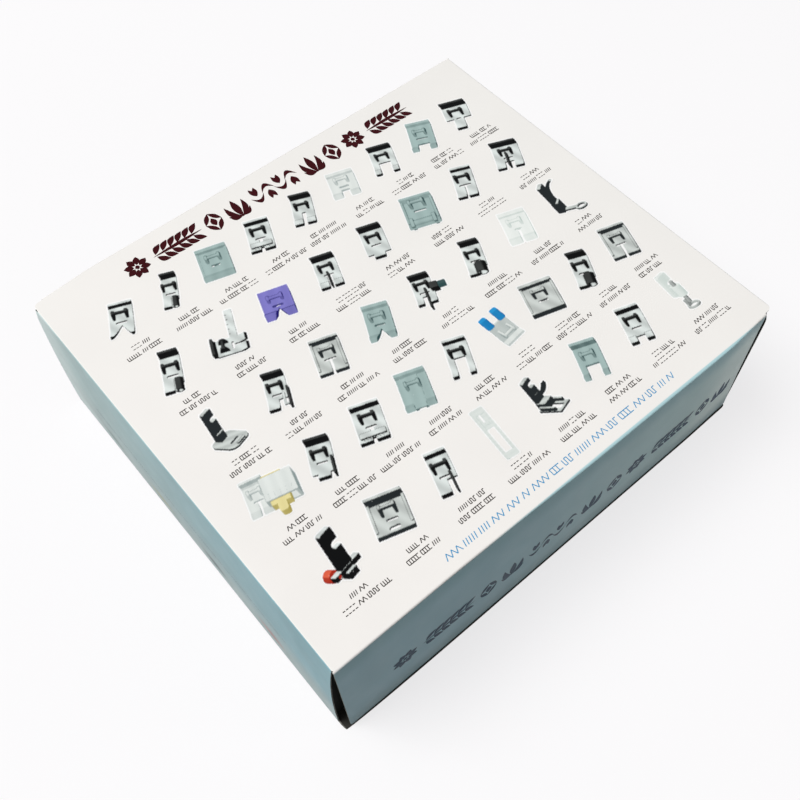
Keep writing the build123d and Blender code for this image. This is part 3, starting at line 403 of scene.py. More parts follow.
@dataclass(frozen=True)
class CutEdge(Finish):
    """The cut edge of the board: torn grey fibres, pale and dark, darkened overall partly by painted shade.
    """

    name: str = "cut_board_edge_with_shade"
    pale: str = "#7f7f78"
    dark: str = "#3c3c38"

    def wire(self, tree: Tree) -> Socket:
        """Short irregular stripes of pale and dark fibre."""
        share = spread(tree, speckle(tree, 1.2, 4.0), 0.3, 0.7)
        colour = blend_colours(tree, share, self.dark, self.pale)
        return add(tree, "BsdfPrincipled", {"Base Color": colour, "Roughness": 0.92}).outputs[0]


@dataclass(frozen=True)
class FormedSheet(Finish):
    """Vacuum-formed clear sheet: almost colourless, glossy, slightly hazy where it was drawn."""

    name: str = "formed_clear_sheet"
    tint: str = "#e6eef0"
    haze: float = 0.26  # share of the light that the sheet catches
    roughness: float = 0.16
    index: float = 2.0  # above the plastic's own, for the shine of both faces

    def wire(self, tree: Tree) -> Socket:
        """A glossy film that lets most of what is behind it through."""
        return add(tree, "BsdfPrincipled", {
            "Base Color": linear(self.tint), "Roughness": self.roughness, "IOR": self.index,
            "Alpha": spread(tree, speckle(tree, 18.0), 0.3, 0.7, self.haze - 0.04, self.haze + 0.05),
            "Normal": relief(tree, 9.0, 0.08, detail=1.0, strength=0.6),
        }).outputs[0]


@dataclass(frozen=True)
class PlatedSteel(Finish):
    """Pressed steel with a bright or satin nickel-chrome plate and fine rubbing marks."""

    name: str
    tone: str = "#cfd1d2"
    roughness: float = 0.14
    scratch: float = 0.7  # millimetres across, coarser than real marks so that they show

    def wire(self, tree: Tree) -> Socket:
        """Full metal whose gloss varies a little with handling."""
        worn = spread(tree, speckle(tree, 3.0, 4.0), 0.3, 0.75, self.roughness, self.roughness + 0.12)
        return add(tree, "BsdfPrincipled", {
            "Base Color": linear(self.tone), "Metallic": 1.0, "Roughness": worn,
            "Normal": relief(tree, self.scratch, 0.01, detail=6.0, strength=0.3),
        }).outputs[0]


@dataclass(frozen=True)
class MouldedPlastic(Finish):
    """Injection-moulded plastic, clear or tinted, with a polished skin."""

    name: str
    tone: str
    clarity: float = 0.0
    roughness: float = 0.22
    index: float = 1.5

    def wire(self, tree: Tree) -> Socket:
        """A glossy skin over a body that may let light through."""
        flow = spread(tree, speckle(tree, 7.0), 0.3, 0.7, self.roughness - 0.04, self.roughness + 0.06)
        cloud = spread(tree, speckle(tree, 4.0), 0.3, 0.7, 0.93, 1.0)
        return add(tree, "BsdfPrincipled", {
            "Base Color": dimmed(tree, self.tone, cloud), "Roughness": flow, "IOR": self.index,
            "Transmission Weight": self.clarity,
        }).outputs[0]


@dataclass(frozen=True)
class TwoZone(Finish):
    """One CAD node with two finishes that meet at a plane across Y."""

    name: str
    front: Finish
    rear: Finish
    border: float  # metres along Y

    def wire(self, tree: Tree) -> Socket:
        """Mix the two shaders at the border."""
        share = spread(tree, coordinate(tree, "Y"), self.border - 0.05 * MM, self.border + 0.05 * MM)
        shaders = {0: share, 1: self.front.wire(tree), 2: self.rear.wire(tree)}
        return add(tree, "MixShader", shaders).outputs[0]


PAPER = "#f4f1ed"
COVER = WrappedCover("cover_white", PAPER, (Wash((-100, -88, 65), (100, 88, 65), "#f2f0ec"),), mottle=0.012)


def lit_closure_print(name: str, turn: int) -> CoatedBoard:
    """A closure's ink with painted light: a painted sheen to its right, painted shade under its fold and at
    its foot.
    """
    return CoatedBoard(name, "#a8c9d2", (
        # painted highlight: the ink pales towards the right end
        Wash((-60 * turn, 0, 30), (90 * turn, 0, 30), "#bfd9d8"),
        # painted highlight: a strong pale sheen over the right end
        Wash((58 * turn, 0, 34), (96 * turn, 0, 26), "#e9f8f4", 0.95),
        # painted shade: darker and bluer under the fold
        Wash((0, 0, 51), (0, 0, 64), "#93b8bf", 0.8),
        # painted shade: darker at the foot
        Wash((0, 0, 15), (0, 0, 2), "#8ba9ae", 0.75),
    ))


FRONT = lit_closure_print("front_print_painted_light", 1)
REAR = lit_closure_print("rear_print_painted_light", -1)
# painted light: the first wash deepens the side ink towards the front top, a painted falloff of light and
# sheen; the second greys it towards the foot and the third pales it towards the rear end
SIDE = CoatedBoard("side_print", "#c6dcda", (
    Wash((0, 90, 0), (0, -90, 60), "#9ac2cb"),
    Wash((0, 0, 38), (0, 0, 10), "#c6d6d5", 0.85),
    Wash((0, 58, 0), (0, 84, 0), "#e3f2f0", 0.9),
), mottle=0.08)
BASE = CoatedBoard("base_print", "#b9cfd1")
# the flaps' and the tab's ink is darker than the sides': partly their own ink, partly painted shade of the
# carton's inside; the wash pales it towards the right top
FLAP_WASHES = (Wash((-100, 0, 0), (100, 0, 65), "#93b0b6"),)
TAB = CoatedBoard("tab_print_painted_shade", "#7d9ba3", FLAP_WASHES, roughness=0.6)
FLAP = ShadedFlapPrint("flap_print_painted_shade", "#7d9ba3", FLAP_WASHES, roughness=0.6)
PRESS_INK = PressInk()
SIDE_PRESS_INK = PressInk("side_press_ink", mottle=0.08)
RAW = RawBoard()
MOUTH = MouthBoard()
EDGE = CutEdge()
SHEET = FormedSheet()
CHROME = PlatedSteel("bright_chrome_plate")
SATIN = PlatedSteel("satin_nickel_plate", "#b7b9b7", 0.3)
CLEAR = MouldedPlastic("clear_acrylic", "#eef2f0", 0.85, 0.12, 1.49)
GREY_GREEN = MouldedPlastic("grey_green_nylon", "#7f9a97", 0.25, 0.28)
INDIGO = MouldedPlastic("indigo_nylon", "#3d3690", 0.2, 0.25)
BLUE_RUBBER = MouldedPlastic("blue_rubber", "#1f86c8", 0.0, 0.5)
RED_KNOB = MouldedPlastic("red_moulded_knob", "#d8472f", 0.0, 0.3)
PALE_YELLOW = MouldedPlastic("pale_yellow_moulding", "#e9dfa0", 0.3, 0.25)


# Meshes


def make_piece(
    name: str, points: np.ndarray, faces: np.ndarray, finishes: Sequence[Finish], body: str,
    pick: np.ndarray | None = None, outward: bool = False,
) -> bpy.types.Object:
    """Make one piece of the object from points in millimetres.

    Args:
        name: The piece's name.
        points: Points, one row each.
        faces: Quads as rows of four point numbers.
        finishes: The finishes of its material slots.
        body: The CAD body that it rides on.
        pick: The slot number of each face; all zero if left out.
        outward: Whether to turn the faces of a closed solid outwards.

    Returns:
        The object, riding on its body.
    """
    mesh = bpy.data.meshes.new(name)
    mesh.from_pydata((np.asarray(points) * MM).tolist(), [], np.asarray(faces).tolist())
    for finish in finishes:
        mesh.materials.append(finish.material())
    if pick is not None:
        mesh.polygons.foreach_set("material_index", np.asarray(pick, np.int32))
    if outward:
        solid = bmesh.new()
        solid.from_mesh(mesh)
        bmesh.ops.recalc_face_normals(solid, faces=solid.faces)
        solid.to_mesh(mesh)
        solid.free()
    mesh.polygons.foreach_set("use_smooth", np.ones(len(mesh.polygons), bool))
    mesh.set_sharp_from_angle(angle=math.radians(42))
    piece = new_object(name, mesh)
    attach(piece, body)
    LOG.info("%s: %d points, %d faces", name, len(points), len(faces))
    return piece


def grid_faces(rows: int, columns: int, closed: bool = False) -> np.ndarray:
    """Quads of a grid of points numbered row by row.

    Args:
        rows: Points along the first parameter.
        columns: Points along the second parameter.
        closed: Whether the last row joins the first.

    Returns:
        One row of four point numbers for each quad.
    """
    number = np.arange(rows * columns).reshape(rows, columns)
    ahead = np.roll(number, -1, axis=0) if closed else number[1:]
    number = number if closed else number[:-1]
    quads = [number[:, :-1], ahead[:, :-1], ahead[:, 1:], number[:, 1:]]
    return np.stack(quads, axis=-1).reshape(-1, 4)


def grid_normals(points: np.ndarray, closed: bool = False) -> np.ndarray:
    """Unit normals of a grid: the cross product of its two slopes at each point."""
    along = np.roll(points, -1, 0) - np.roll(points, 1, 0) if closed else np.gradient(points, axis=0)
    across = np.gradient(points, axis=1)
    normals = np.cross(along, across)
    return normals / np.maximum(np.linalg.norm(normals, axis=-1, keepdims=True), 1e-9)


def board(
    name: str, outer: np.ndarray, body: str, printed: Sequence[Finish], thickness: float,
    closed: bool = False, pick: Callable[[np.ndarray], np.ndarray] | None = None, inside: Finish = RAW,
) -> bpy.types.Object:
    """Make a board of even thickness behind a grid of points on its printed face.

    The inner face is the outer one moved back along its normals, and a rim of quads joins them.

    Args:
        name: The piece's name.
        outer: A grid of points, rows by columns by three, in millimetres.
        body: The CAD body that it rides on.
        printed: The finishes of the printed face.
        thickness: The board's thickness in millimetres.
        closed: Whether the grid's last row joins its first.
        pick: Gives each printed face its finish from the faces' normals.
        inside: The finish of the inner face.

    Returns:
        The closed solid.
    """
    rows, columns = outer.shape[:2]
    normals = grid_normals(outer, closed)
    points = np.concatenate([outer.reshape(-1, 3), (outer - thickness * normals).reshape(-1, 3)])
    skin = grid_faces(rows, columns, closed)
    count = rows * columns
    number = np.arange(count).reshape(rows, columns)
    ring = np.concatenate([number, number[:1]]) if closed else number
    sides = [ring[:, 0], ring[:, -1]] + ([] if closed else [ring[0], ring[-1]])
    rims = [np.stack([s[:-1], s[1:], s[1:] + count, s[:-1] + count], axis=-1) for s in sides]
    rim = np.concatenate(rims)
    corner = normals.reshape(-1, 3)[skin].mean(axis=1)
    front_pick = pick(corner) if pick else np.zeros(len(skin), int)
    back_slot, rim_slot = len(printed), len(printed) + 1
    slots = np.concatenate([front_pick, np.full(len(skin), back_slot), np.full(len(rim), rim_slot)])
    faces = np.concatenate([skin, skin[:, ::-1] + count, rim])
    return make_piece(name, points, faces, [*printed, inside, EDGE], body, slots, outward=True)


# The carton


class Face(Enum):
    """The outer faces that carry print."""

    TOP = "top"
    FRONT = "front"
    REAR = "rear"
    LEFT = "left"
    RIGHT = "right"


@dataclass(frozen=True)
class Carton:
    """The carton's boards in millimetres: a sleeve, and at each end a closure, a tab, two flaps."""

    width: float
    depth: float
    height: float
    thickness: float = 0.5
    crease: float = 0.7  # outer radius of a fold
    crushed: float = 0.15  # thickness of the board in a fold
    bow: float = 3.2  # how far the left panel's front edge curves back at its foot
    bow_right: float = 0.5  # the same of the right panel
    bow_power: float = 2.5
    curl: float = 1.5  # how far an end's right edge curls back at its top
    curl_length: float = 28.0
    curl_at_foot: float = 0.25  # the curl's share that is left at the foot
    side_recess: float = 0.45  # of a side panel's end edge behind the closure
    base_bulge: float = 0.9  # how far the base's end edge curves out
    corner_left: float = 0.8  # radius of the top's left corner beside a crease
    corner_right: float = 2.6
    corner_fade: float = 8.0  # height over which the right corner's rounding ends
    corner_at_foot: float = 0.35  # the rounding's share at the base
    pressed: float = 1.0  # how far the left half of the front's fold is pressed in
    pressed_from: float = 20.0
    pressed_to: float = -60.0
    lean: float = 0.5  # of a closure's foot at its right end, inwards
    foot_bulge: float = 0.5  # how far a closure's foot curves out
    sag: float = 0.5  # of the top panel
    ripple: float = 0.16
    ripple_x: float = 15.0  # run of the ripple for one radian
    ripple_y: float = 12.0
    swell: float = 0.7  # of the side panels
    side_ripple: float = 0.15
    side_ripple_y: float = 21.0
    belly: float = 0.5  # of a closure's middle
    closure_left_top: float = 99.9
    closure_left_foot: float = 97.5
    closure_right_top: float = 96.0
    closure_right_foot: float = 99.4
    closure_right_power: float = 2.4
    closure_foot: float = 1.3
    closure_corner: float = 1.5
    tab_half: float = 96.0
    tab_length: float = 15.0
    tab_corner: float = 8.0
    tab_fold: float = 0.5
    flap_face: float = 82.0
    flap_root: float = 99.4
    flap_length: float = 50.0
    flap_top: float = 62.5
    flap_foot: float = 3.0
    flap_taper: float = 30.0
    flap_lower_taper: float = 5.0
    flap_corner: float = 4.0
    flap_curl: float = 0.25
    seam_width: float = 14.0
    seam_half: float = 79.0

    @classmethod
    def from_frame(cls) -> Carton:
        """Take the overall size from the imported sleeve."""
        low, high = (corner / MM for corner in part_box("carton_sleeve"))
        width, depth, height = high - low
        return cls(width, depth, height)

    def top_height(self, x: np.ndarray, y: np.ndarray) -> np.ndarray:
        """Height of the top's outer face: a shallow sag that fades to the creases, and a ripple."""
        inside = (1 - (2 * x / self.width) ** 2) * (1 - (2 * y / self.depth) ** 4)
        ripple = self.ripple * np.sin(x / self.ripple_x + 1.1) * np.cos(y / self.ripple_y)
        return self.height - np.clip(inside, 0, 1) * (self.sag + ripple)

    def side_reach(self, y: np.ndarray, z: np.ndarray) -> np.ndarray:
        """Half width of the sleeve at a side panel, which swells a little between its creases."""
        up = np.clip(z / self.height, 0, 1)
        ripple = self.side_ripple * np.sin(y / self.side_ripple_y + 0.6)
        return self.width / 2 + 4 * up * (1 - up) * (self.swell + ripple)

    def curve(self, x: np.ndarray) -> np.ndarray:
        """A bulge along an end's foot that is greatest at its left: the sine of the width's root."""
        return np.sin(np.pi * np.sqrt(np.clip(x / self.width + 0.5, 0, 1)))

    def end_reach(self, x: np.ndarray, z: np.ndarray, face: Face) -> np.ndarray:
        """Half depth of the carton at a closure, whose foot curves out and leans in at its right."""
        down = np.clip(1 - z / self.height, 0, 1)
        share = np.clip(x / self.width + 0.5, 0, 1)
        belly = self.belly * np.sin(np.pi * down) * np.cos(np.pi * np.clip(x / self.width, -0.5, 0.5))
        foot = (self.lean * share - self.foot_bulge * self.curve(x)) * down
        dip = self.dip(x, z) if face is Face.FRONT else 0
        return self.depth / 2 - foot - self.curled(x, z) - dip + belly

    def curled(self, x: np.ndarray, z: np.ndarray) -> np.ndarray:
        """How far an end has curled back: a smooth step over its right end, less at the foot."""
        along = smooth(x, self.width / 2 - self.curl_length, self.width / 2)
        up = np.clip(z / self.height, 0, 1)
        return self.curl * along * (self.curl_at_foot + (1 - self.curl_at_foot) * up)

    def dip(self, x: np.ndarray, z: np.ndarray) -> np.ndarray:
        """How far the front is pressed in at its fold's left half, by the square of the height."""
        less = 1 - 0.3 * np.clip((-55 - x) / 45, 0, 1)
        left = smooth(x, self.pressed_from, self.pressed_to)
        return self.pressed * left * less * np.clip(z / self.height, 0, 1) ** 2

    def lay(self, face: Face, s: np.ndarray, t: np.ndarray, lift: float) -> np.ndarray:
        """Put print onto a face.

        Args:
            face: The face that carries it.
            s: Distance to the viewer's right, from the face's middle line.
            t: Distance upwards, from the base, or to the rear on the top.
            lift: Height above the board.

        Returns:
            Points on the board, in millimetres.
        """
        if face is Face.TOP:
            return np.stack([s, t, self.top_height(s, t) + lift], axis=-1)
        if face in (Face.FRONT, Face.REAR):
            turn = 1 if face is Face.FRONT else -1
            return np.stack([turn * s, -turn * (self.end_reach(s, t, face) + lift), t], axis=-1)
        turn = 1 if face is Face.LEFT else -1
        return np.stack([-turn * (self.side_reach(-turn * s, t) + lift), -turn * s, t], axis=-1)

    def wrap(self) -> tuple[np.ndarray, np.ndarray]:
        """Walk once round the sleeve: top, right side, bottom, left side, an arc at each crease."""
        w, h, r = self.width / 2, self.height, self.crease
        near = w - r - np.array([0.25, 0.5, 0.8, 1.2])
        flat = np.sort(np.concatenate([np.linspace(r - w, w - r, 81), near, -near]))
        tall = np.linspace(h - r, r, 29)
        turn = np.linspace(0, math.pi / 2, 6)[1:-1]
        run, rise = r * np.sin(turn), r * np.cos(turn)
        side, level = np.full(len(tall), w), np.full(len(flat), h)
        x = np.concatenate([flat, w - r + run, side, w - r + rise])
        z = np.concatenate([level, h - r + rise, tall, r - run])
        back = np.concatenate([0 * level, r - rise, tall[::-1], h - r + run])
        return np.concatenate([x, -x]), np.concatenate([z, back])

    def end_recess(self, x: np.ndarray, z: np.ndarray) -> np.ndarray:
        """How far the sleeve's end edge lies behind the carton's end, all the way round it."""
        down = np.clip(1 - z / self.height, 0, 1)
        bow = np.where(x < 0, self.bow, self.bow_right)
        bowed = self.side_recess + bow * (1 - (1 - down) ** self.bow_power) + self.curled(x, z)
        bowed = bowed * np.clip(z / self.crease, 0, 1)
        on_side = np.abs(x) > self.width / 2 - self.crease / 2
        on_top = z > self.height - self.crease / 2
        radius = np.where(x < 0, self.corner_left, self.corner_right)
        near = np.clip(np.abs(x) - (self.width / 2 - radius), 0, radius)
        corner = radius - np.sqrt(radius**2 - near**2)
        left_share = np.clip(z / self.height - 0.2, 0, 1)
        right_share = np.clip(1 - (self.height - z) / self.corner_fade, 0, 1)
        right_share = right_share + np.where(z < self.crease, self.corner_at_foot, 0)
        corner = corner * np.where(x < 0, left_share, right_share)
        less = 0.7 - 0.6 * x / self.width  # from the whole bulge at the left end to 0.4 of it
        bulge = self.base_bulge * self.curve(x) * less - self.curled(x, z)
        top = np.where(on_top, self.crease + self.curled(x, z), 0)
        base = np.where(z < self.crease / 2, bulge, 0)
        return np.where(on_side, bowed, 0) + top - base + corner

    def sleeve(self) -> None:
        """Build the sleeve, with the glued seam inside its right panel."""
        x, z = self.wrap()
        share = np.linspace(-1, 1, 71)
        front, rear = (self.depth / 2 - self.end_recess(end * x, z) for end in (1, -1))
        front = front - self.dip(x, z)
        y = np.where(share[None] < 0, share[None] * front[:, None], share[None] * rear[:, None])
        x, z = (np.repeat(values[:, None], len(share), axis=1) for values in (x, z))
        side = np.abs(x) > self.width / 2 - 1e-6
        top = z > self.height - 1e-6
        x = np.where(side, np.sign(x) * self.side_reach(y, z), x)
        z = np.where(top, self.top_height(x, y), z)

        def panel(normals: np.ndarray) -> np.ndarray:
            """Cover on the top, side ink on both sides, base ink below."""
            return np.where(normals[:, 2] > 0.7, 0, np.where(normals[:, 2] < -0.7, 2, 1))

        piece = board("sleeve", np.stack([x, y, z], axis=-1), "carton", [COVER, SIDE, BASE],
                      self.thickness, closed=True, pick=panel, inside=MOUTH)
        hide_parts("carton_sleeve")
        run, rise = np.meshgrid(np.linspace(-self.seam_half, self.seam_half, 41),
                                np.linspace(0.8, self.seam_width, 9), indexing="ij")
        reach = self.side_reach(run, rise) - self.thickness - 0.02
        board("glued_seam", np.stack([reach, run, rise], axis=-1), "carton", [TAB], self.thickness)

    def end(self, name: str, face: Face, finish: Finish) -> None:
        """Build the pieces of one open end.

        Args:
            name: front or rear, as in the CAD nodes' names.
            face: The face that the closure makes.
            finish: The closure's printed finish.
        """
        self.crease_strip(name, face)
        self.closure(name, face, finish)
        self.tab(name, face)
        for hand, side in ((-1, "left"), (1, "right")):
            self.dust_flap(name, face, hand, side)

    def facing(self, face: Face, points: np.ndarray) -> np.ndarray:
        """Points of the front end, turned half round for the rear."""
        return points if face is Face.FRONT else points * np.array([-1, -1, 1])

    def crease_strip(self, name: str, face: Face) -> None:
        """The crushed fold above a closure: a quarter circle, fixed in place."""
        angle = np.linspace(math.pi / 2, 0, 9)
        x = np.linspace(-self.closure_left_top, self.closure_right_top, 91)
        x, back = np.meshgrid(x, self.crease * (1 - np.sin(angle)), indexing="ij")
        z = np.repeat((self.height - self.crease * (1 - np.cos(angle)))[None], len(x), 0)
        grid = np.stack([x, back - self.end_reach(x, np.full_like(x, self.height), face), z], axis=-1)
        piece = board(f"{name}_crease", self.facing(face, grid), "carton", [COVER], self.crushed)
        piece.parent = None
        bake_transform(piece)

    def closure(self, name: str, face: Face, finish: Finish) -> None:
        """A closure panel: wider to its right and narrower to its left at its foot, two round corners."""
        foot, radius = self.closure_foot, self.closure_corner
        z = np.concatenate([foot + radius * (1 - np.cos(np.linspace(0, math.pi / 2, 7))),
                            np.linspace(foot + radius, self.height - self.crease, 33)[1:]])
        down = (self.height - z) / self.height
        short = np.clip(radius - (z - foot), 0, radius)
        corner = radius - np.sqrt(radius**2 - short**2)
        left = self.closure_left_top + (self.closure_left_foot - self.closure_left_top) * down - corner
        wider = (self.closure_right_foot - self.closure_right_top) * down**self.closure_right_power
        right = self.closure_right_top + wider - corner
        share = np.linspace(0, 1, 91)
        x = share[:, None] * (left + right)[None] - left[None]
        z = np.repeat(z[None], len(share), 0)
        grid = np.stack([x, -self.end_reach(x, z, face), z], axis=-1)
        piece = board(f"{name}_closure_board", self.facing(face, grid), f"{name}_closure", [finish],
                      self.thickness)
        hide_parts(f"{name}_closure_panel")

    def tab(self, name: str, face: Face) -> None:
        """A tuck tab: flat with two round corners, and the fold that joins it to its closure."""
        angle = np.linspace(0, math.pi / 2, 6)
        flat = np.linspace(0, 1, 19)
        run = self.tab_length - self.tab_fold
        away = np.concatenate([run * (1 - flat) + self.tab_fold, self.tab_fold * (1 - np.sin(angle[1:]))])
        rise = np.concatenate([0 * flat, self.tab_fold * (1 - np.cos(angle[1:]))])
        near_tip = np.clip(away - (self.tab_length - self.tab_corner), 0, self.tab_corner - 0.01)
        half = self.tab_half - (self.tab_corner - np.sqrt(self.tab_corner**2 - near_tip**2))
        share = np.linspace(-1, 1, 81)
        low = self.closure_foot - self.tab_fold
        x = share[:, None] * half[None]
        z = np.repeat((low + rise)[None], len(share), 0)
        grid = np.stack([x, away[None] - self.end_reach(x, self.closure_foot, face), z], axis=-1)
        piece = board(f"{name}_tab_board", self.facing(face, grid), f"{name}_tab", [TAB], self.thickness)
        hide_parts(f"{name}_tuck_tab")

    def dust_flap(self, name: str, face: Face, hand: int, side: str) -> None:
        """A dust flap: a board that tapers from its root and has two round corners at its tip."""
        local_hand = hand if face is Face.FRONT else -hand
        away = np.concatenate([np.linspace(0, self.flap_length - self.flap_corner, 25)[:-1],
                               self.flap_length - self.flap_corner
                               + self.flap_corner * np.sin(np.linspace(0, math.pi / 2 - 0.02, 9))])
        near_tip = np.clip(away - (self.flap_length - self.flap_corner), 0, self.flap_corner)
        cut = self.flap_corner - np.sqrt(self.flap_corner**2 - near_tip**2)
        upper = self.flap_top - away * math.tan(math.radians(self.flap_taper)) - cut
        lower = self.flap_foot + away * math.tan(math.radians(self.flap_lower_taper)) + cut
        share = np.linspace(0, 1, 25)
        z = lower[:, None] + (upper - lower)[:, None] * share[None]
        curl = self.flap_curl * np.sin(np.pi * away / self.flap_length)
        x = np.repeat((local_hand * (self.flap_root - away))[:, None], len(share), 1)
        y = np.repeat((-self.flap_face + curl)[:, None], len(share), 1)
        grid = np.stack([x, y, z], axis=-1)
        grid = grid[::-1] if local_hand > 0 else grid
        piece = board(f"{name}_flap_board_{side}", self.facing(face, grid), f"{name}_flap_{side}",
                      [FLAP], self.thickness)
        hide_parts(f"{name}_dust_flap_{side}")


# Print


@dataclass
class Marks:
    """Marks of one print run: flat shapes with a colour at each point, laid onto one face."""

    points: list[np.ndarray] = field(default_factory=list)
    faces: list[np.ndarray] = field(default_factory=list)
    inks: list[np.ndarray] = field(default_factory=list)
    lifts: list[np.ndarray] = field(default_factory=list)
    count: int = 0
    film: float = 0.03  # millimetres above the board
    film_step: float = 0.0004  # from one shape to the next, so that they lie in no common plane
    film_steps: int = 40
    leaf_tip: float = 0.04  # half the width of a leaf's tip

    def put(self, points: np.ndarray, faces: np.ndarray, ink: np.ndarray | str) -> None:
        """Add one shape.

        Args:
            points: Its points in the face's own plane, one row each.
            faces: Quads as rows of four point numbers, counter-clockwise.
            ink: One hex colour, or linear RGBA for each point.
        """
        colours = np.tile(linear(ink), (len(points), 1)) if isinstance(ink, str) else ink
        self.points.append(points)
        self.faces.append(faces + self.count)
        self.inks.append(colours)
        lift = self.film + self.film_step * (len(self.points) % self.film_steps)
        self.lifts.append(np.full(len(points), lift))
        self.count += len(points)

    def strokes(self, ends: np.ndarray, width: float, ink: str) -> None:
        """Straight strokes, each a rectangle about the line between its two ends.

        Args:
            ends: Start and end of each stroke, strokes by two by two.
            width: The strokes' width.
            ink: Their colour.
        """
        run = ends[:, 1] - ends[:, 0]
        side = np.stack([-run[:, 1], run[:, 0]], axis=-1)
        side = side / np.maximum(np.linalg.norm(side, axis=-1, keepdims=True), 1e-9) * width / 2
        corners = [ends[:, 0] - side, ends[:, 1] - side, ends[:, 1] + side, ends[:, 0] + side]
        points = np.stack(corners, axis=1).reshape(-1, 2)
        self.put(points, np.arange(len(points)).reshape(-1, 4), ink)

    def leaf(
        self, start: np.ndarray, end: np.ndarray, width: float, ink: str, bend: float = 0.0,
    ) -> None:
        """A leaf: pointed at both ends, its width a half sine, along a line that may bend.

        Args:
            start: One tip.
            end: The other tip.
            width: Its greatest width.
            ink: Its colour.
            bend: How far its middle lies to the left of the straight line between the tips.
        """
        run = end - start
        side = np.array([-run[1], run[0]]) / max(np.linalg.norm(run), 1e-9)
        share = np.linspace(0, 1, 13)[:, None]
        swell = np.sin(np.pi * share)
        middle = start + share * run + bend * swell * side
        half = (self.leaf_tip + (0.5 * width - self.leaf_tip) * swell) * side
        points = np.stack([middle - half, middle + half], axis=1).reshape(-1, 2)
        step = 2 * np.arange(len(share) - 1)
        self.put(points, np.stack([step, step + 2, step + 3, step + 1], axis=-1), ink)

    def build(
        self, name: str, carton: Carton, face: Face, body: str, ink: Finish | None = None,
    ) -> bpy.types.Object:
        """Lay the marks onto a face as one piece.

        Args:
            name: The piece's name.
            carton: The carton that carries it.
            face: Which of its faces.
            body: The CAD body that it rides on.
            ink: Its finish, the press ink if left out.

        Returns:
            The piece.
        """
        flat = np.concatenate(self.points)
        laid = carton.lay(face, flat[:, 0], flat[:, 1], np.concatenate(self.lifts))
        piece = make_piece(name, laid, np.concatenate(self.faces), [ink or PRESS_INK], body)
        colours = piece.data.color_attributes.new("ink", "FLOAT_COLOR", "POINT")
        colours.data.foreach_set("color", np.concatenate(self.inks).astype(np.float32).ravel())
        low, span = flat.min(axis=0), np.ptp(flat, axis=0)
        corner_point = np.empty(len(piece.data.loops), np.int32)
        piece.data.loops.foreach_get("vertex_index", corner_point)
        layer = piece.data.uv_layers.new(name="OFBake")
        layer.data.foreach_set("uv", ((flat - low) / span)[corner_point].astype(np.float32).ravel())
        return piece


class Stitch(Enum):
    """Machine stitches that the print uses as its ornament, each with its pitch over its height."""

    SLANT = 0.5
    ZIGZAG = 0.46
    BATTLEMENT = 0.95
    BLANKET = 0.55
    RAIL = 0.8
    LADDER = 0.6


# each stitch's strokes: x and y of the start and of the end, over the pitch and the height
UNIT_STROKES = {
    Stitch.SLANT: [(0, 0, 0.5, 1)],
    Stitch.ZIGZAG: [(0, 0, 1, 1)],
    Stitch.BATTLEMENT: [(0, 0, 0.5, 0), (0.5, 0, 0.5, 1), (0.5, 1, 1, 1), (0, 0, 0, 1)],
    Stitch.BLANKET: [(0, 0, 0, 1), (0, 0, 1, 0)],
    Stitch.RAIL: [(0, 0, 0.7, 0), (0, 1, 0.7, 1)],
    Stitch.LADDER: [(0, 0, 0, 1), (0, 1, 1, 1), (0, 0, 1, 0)],
}


def stitch_strokes(kind: Stitch, start: float, length: float, middle: float, height: float) -> np.ndarray:
    """Strokes of one row of stitches.

    Args:
        kind: The stitch.
        start: Where the row begins.
        length: The row's length.
        middle: The row's middle height.
        height: The stitches' height.

    Returns:
        Start and end of each stroke, strokes by two by two.
    """
    pitch = kind.value * height
    x = start + pitch * np.arange(max(2, round(length / pitch)))
    flipped = np.arange(len(x)) % 2 == 1 if kind is Stitch.ZIGZAG else np.zeros(len(x), bool)
    strokes = []
    for *first, across, up in UNIT_STROKES[kind]:
        ends = [np.stack([x + pitch * a, middle + height * (np.where(flipped, 1 - u, u) - 0.5)], axis=-1)
                for a, u in (first, (across, up))]
        strokes.append(np.stack(ends, axis=1))
    return np.concatenate(strokes)


def stitch_sample(
    random: np.random.Generator, kinds: Sequence[Stitch], centre: float, length: float,
    middle: float, height: float,
) -> np.ndarray:
    """Short groups of different stitches, one after the other in a line about its centre."""
    strokes = []
    x, end = centre - length / 2, centre + length / 2
    while x < end - 0.8 * height:
        run = min(random.uniform(1.5, 3.2) * height, end - x)
        group = stitch_strokes(kinds[random.integers(len(kinds))], x, run, middle, height)
        strokes.append(group)
        x = group[..., 0].max() + 0.55 * height
    return np.concatenate(strokes)


class Motif(Enum):
    """Motifs of decorative machine stitches, each with its width over the band's height."""

    FLOWER = 1.05
    EAR = 2.2
    LOZENGE = 0.76
    TULIP = 1.0
    VINE = 2.3


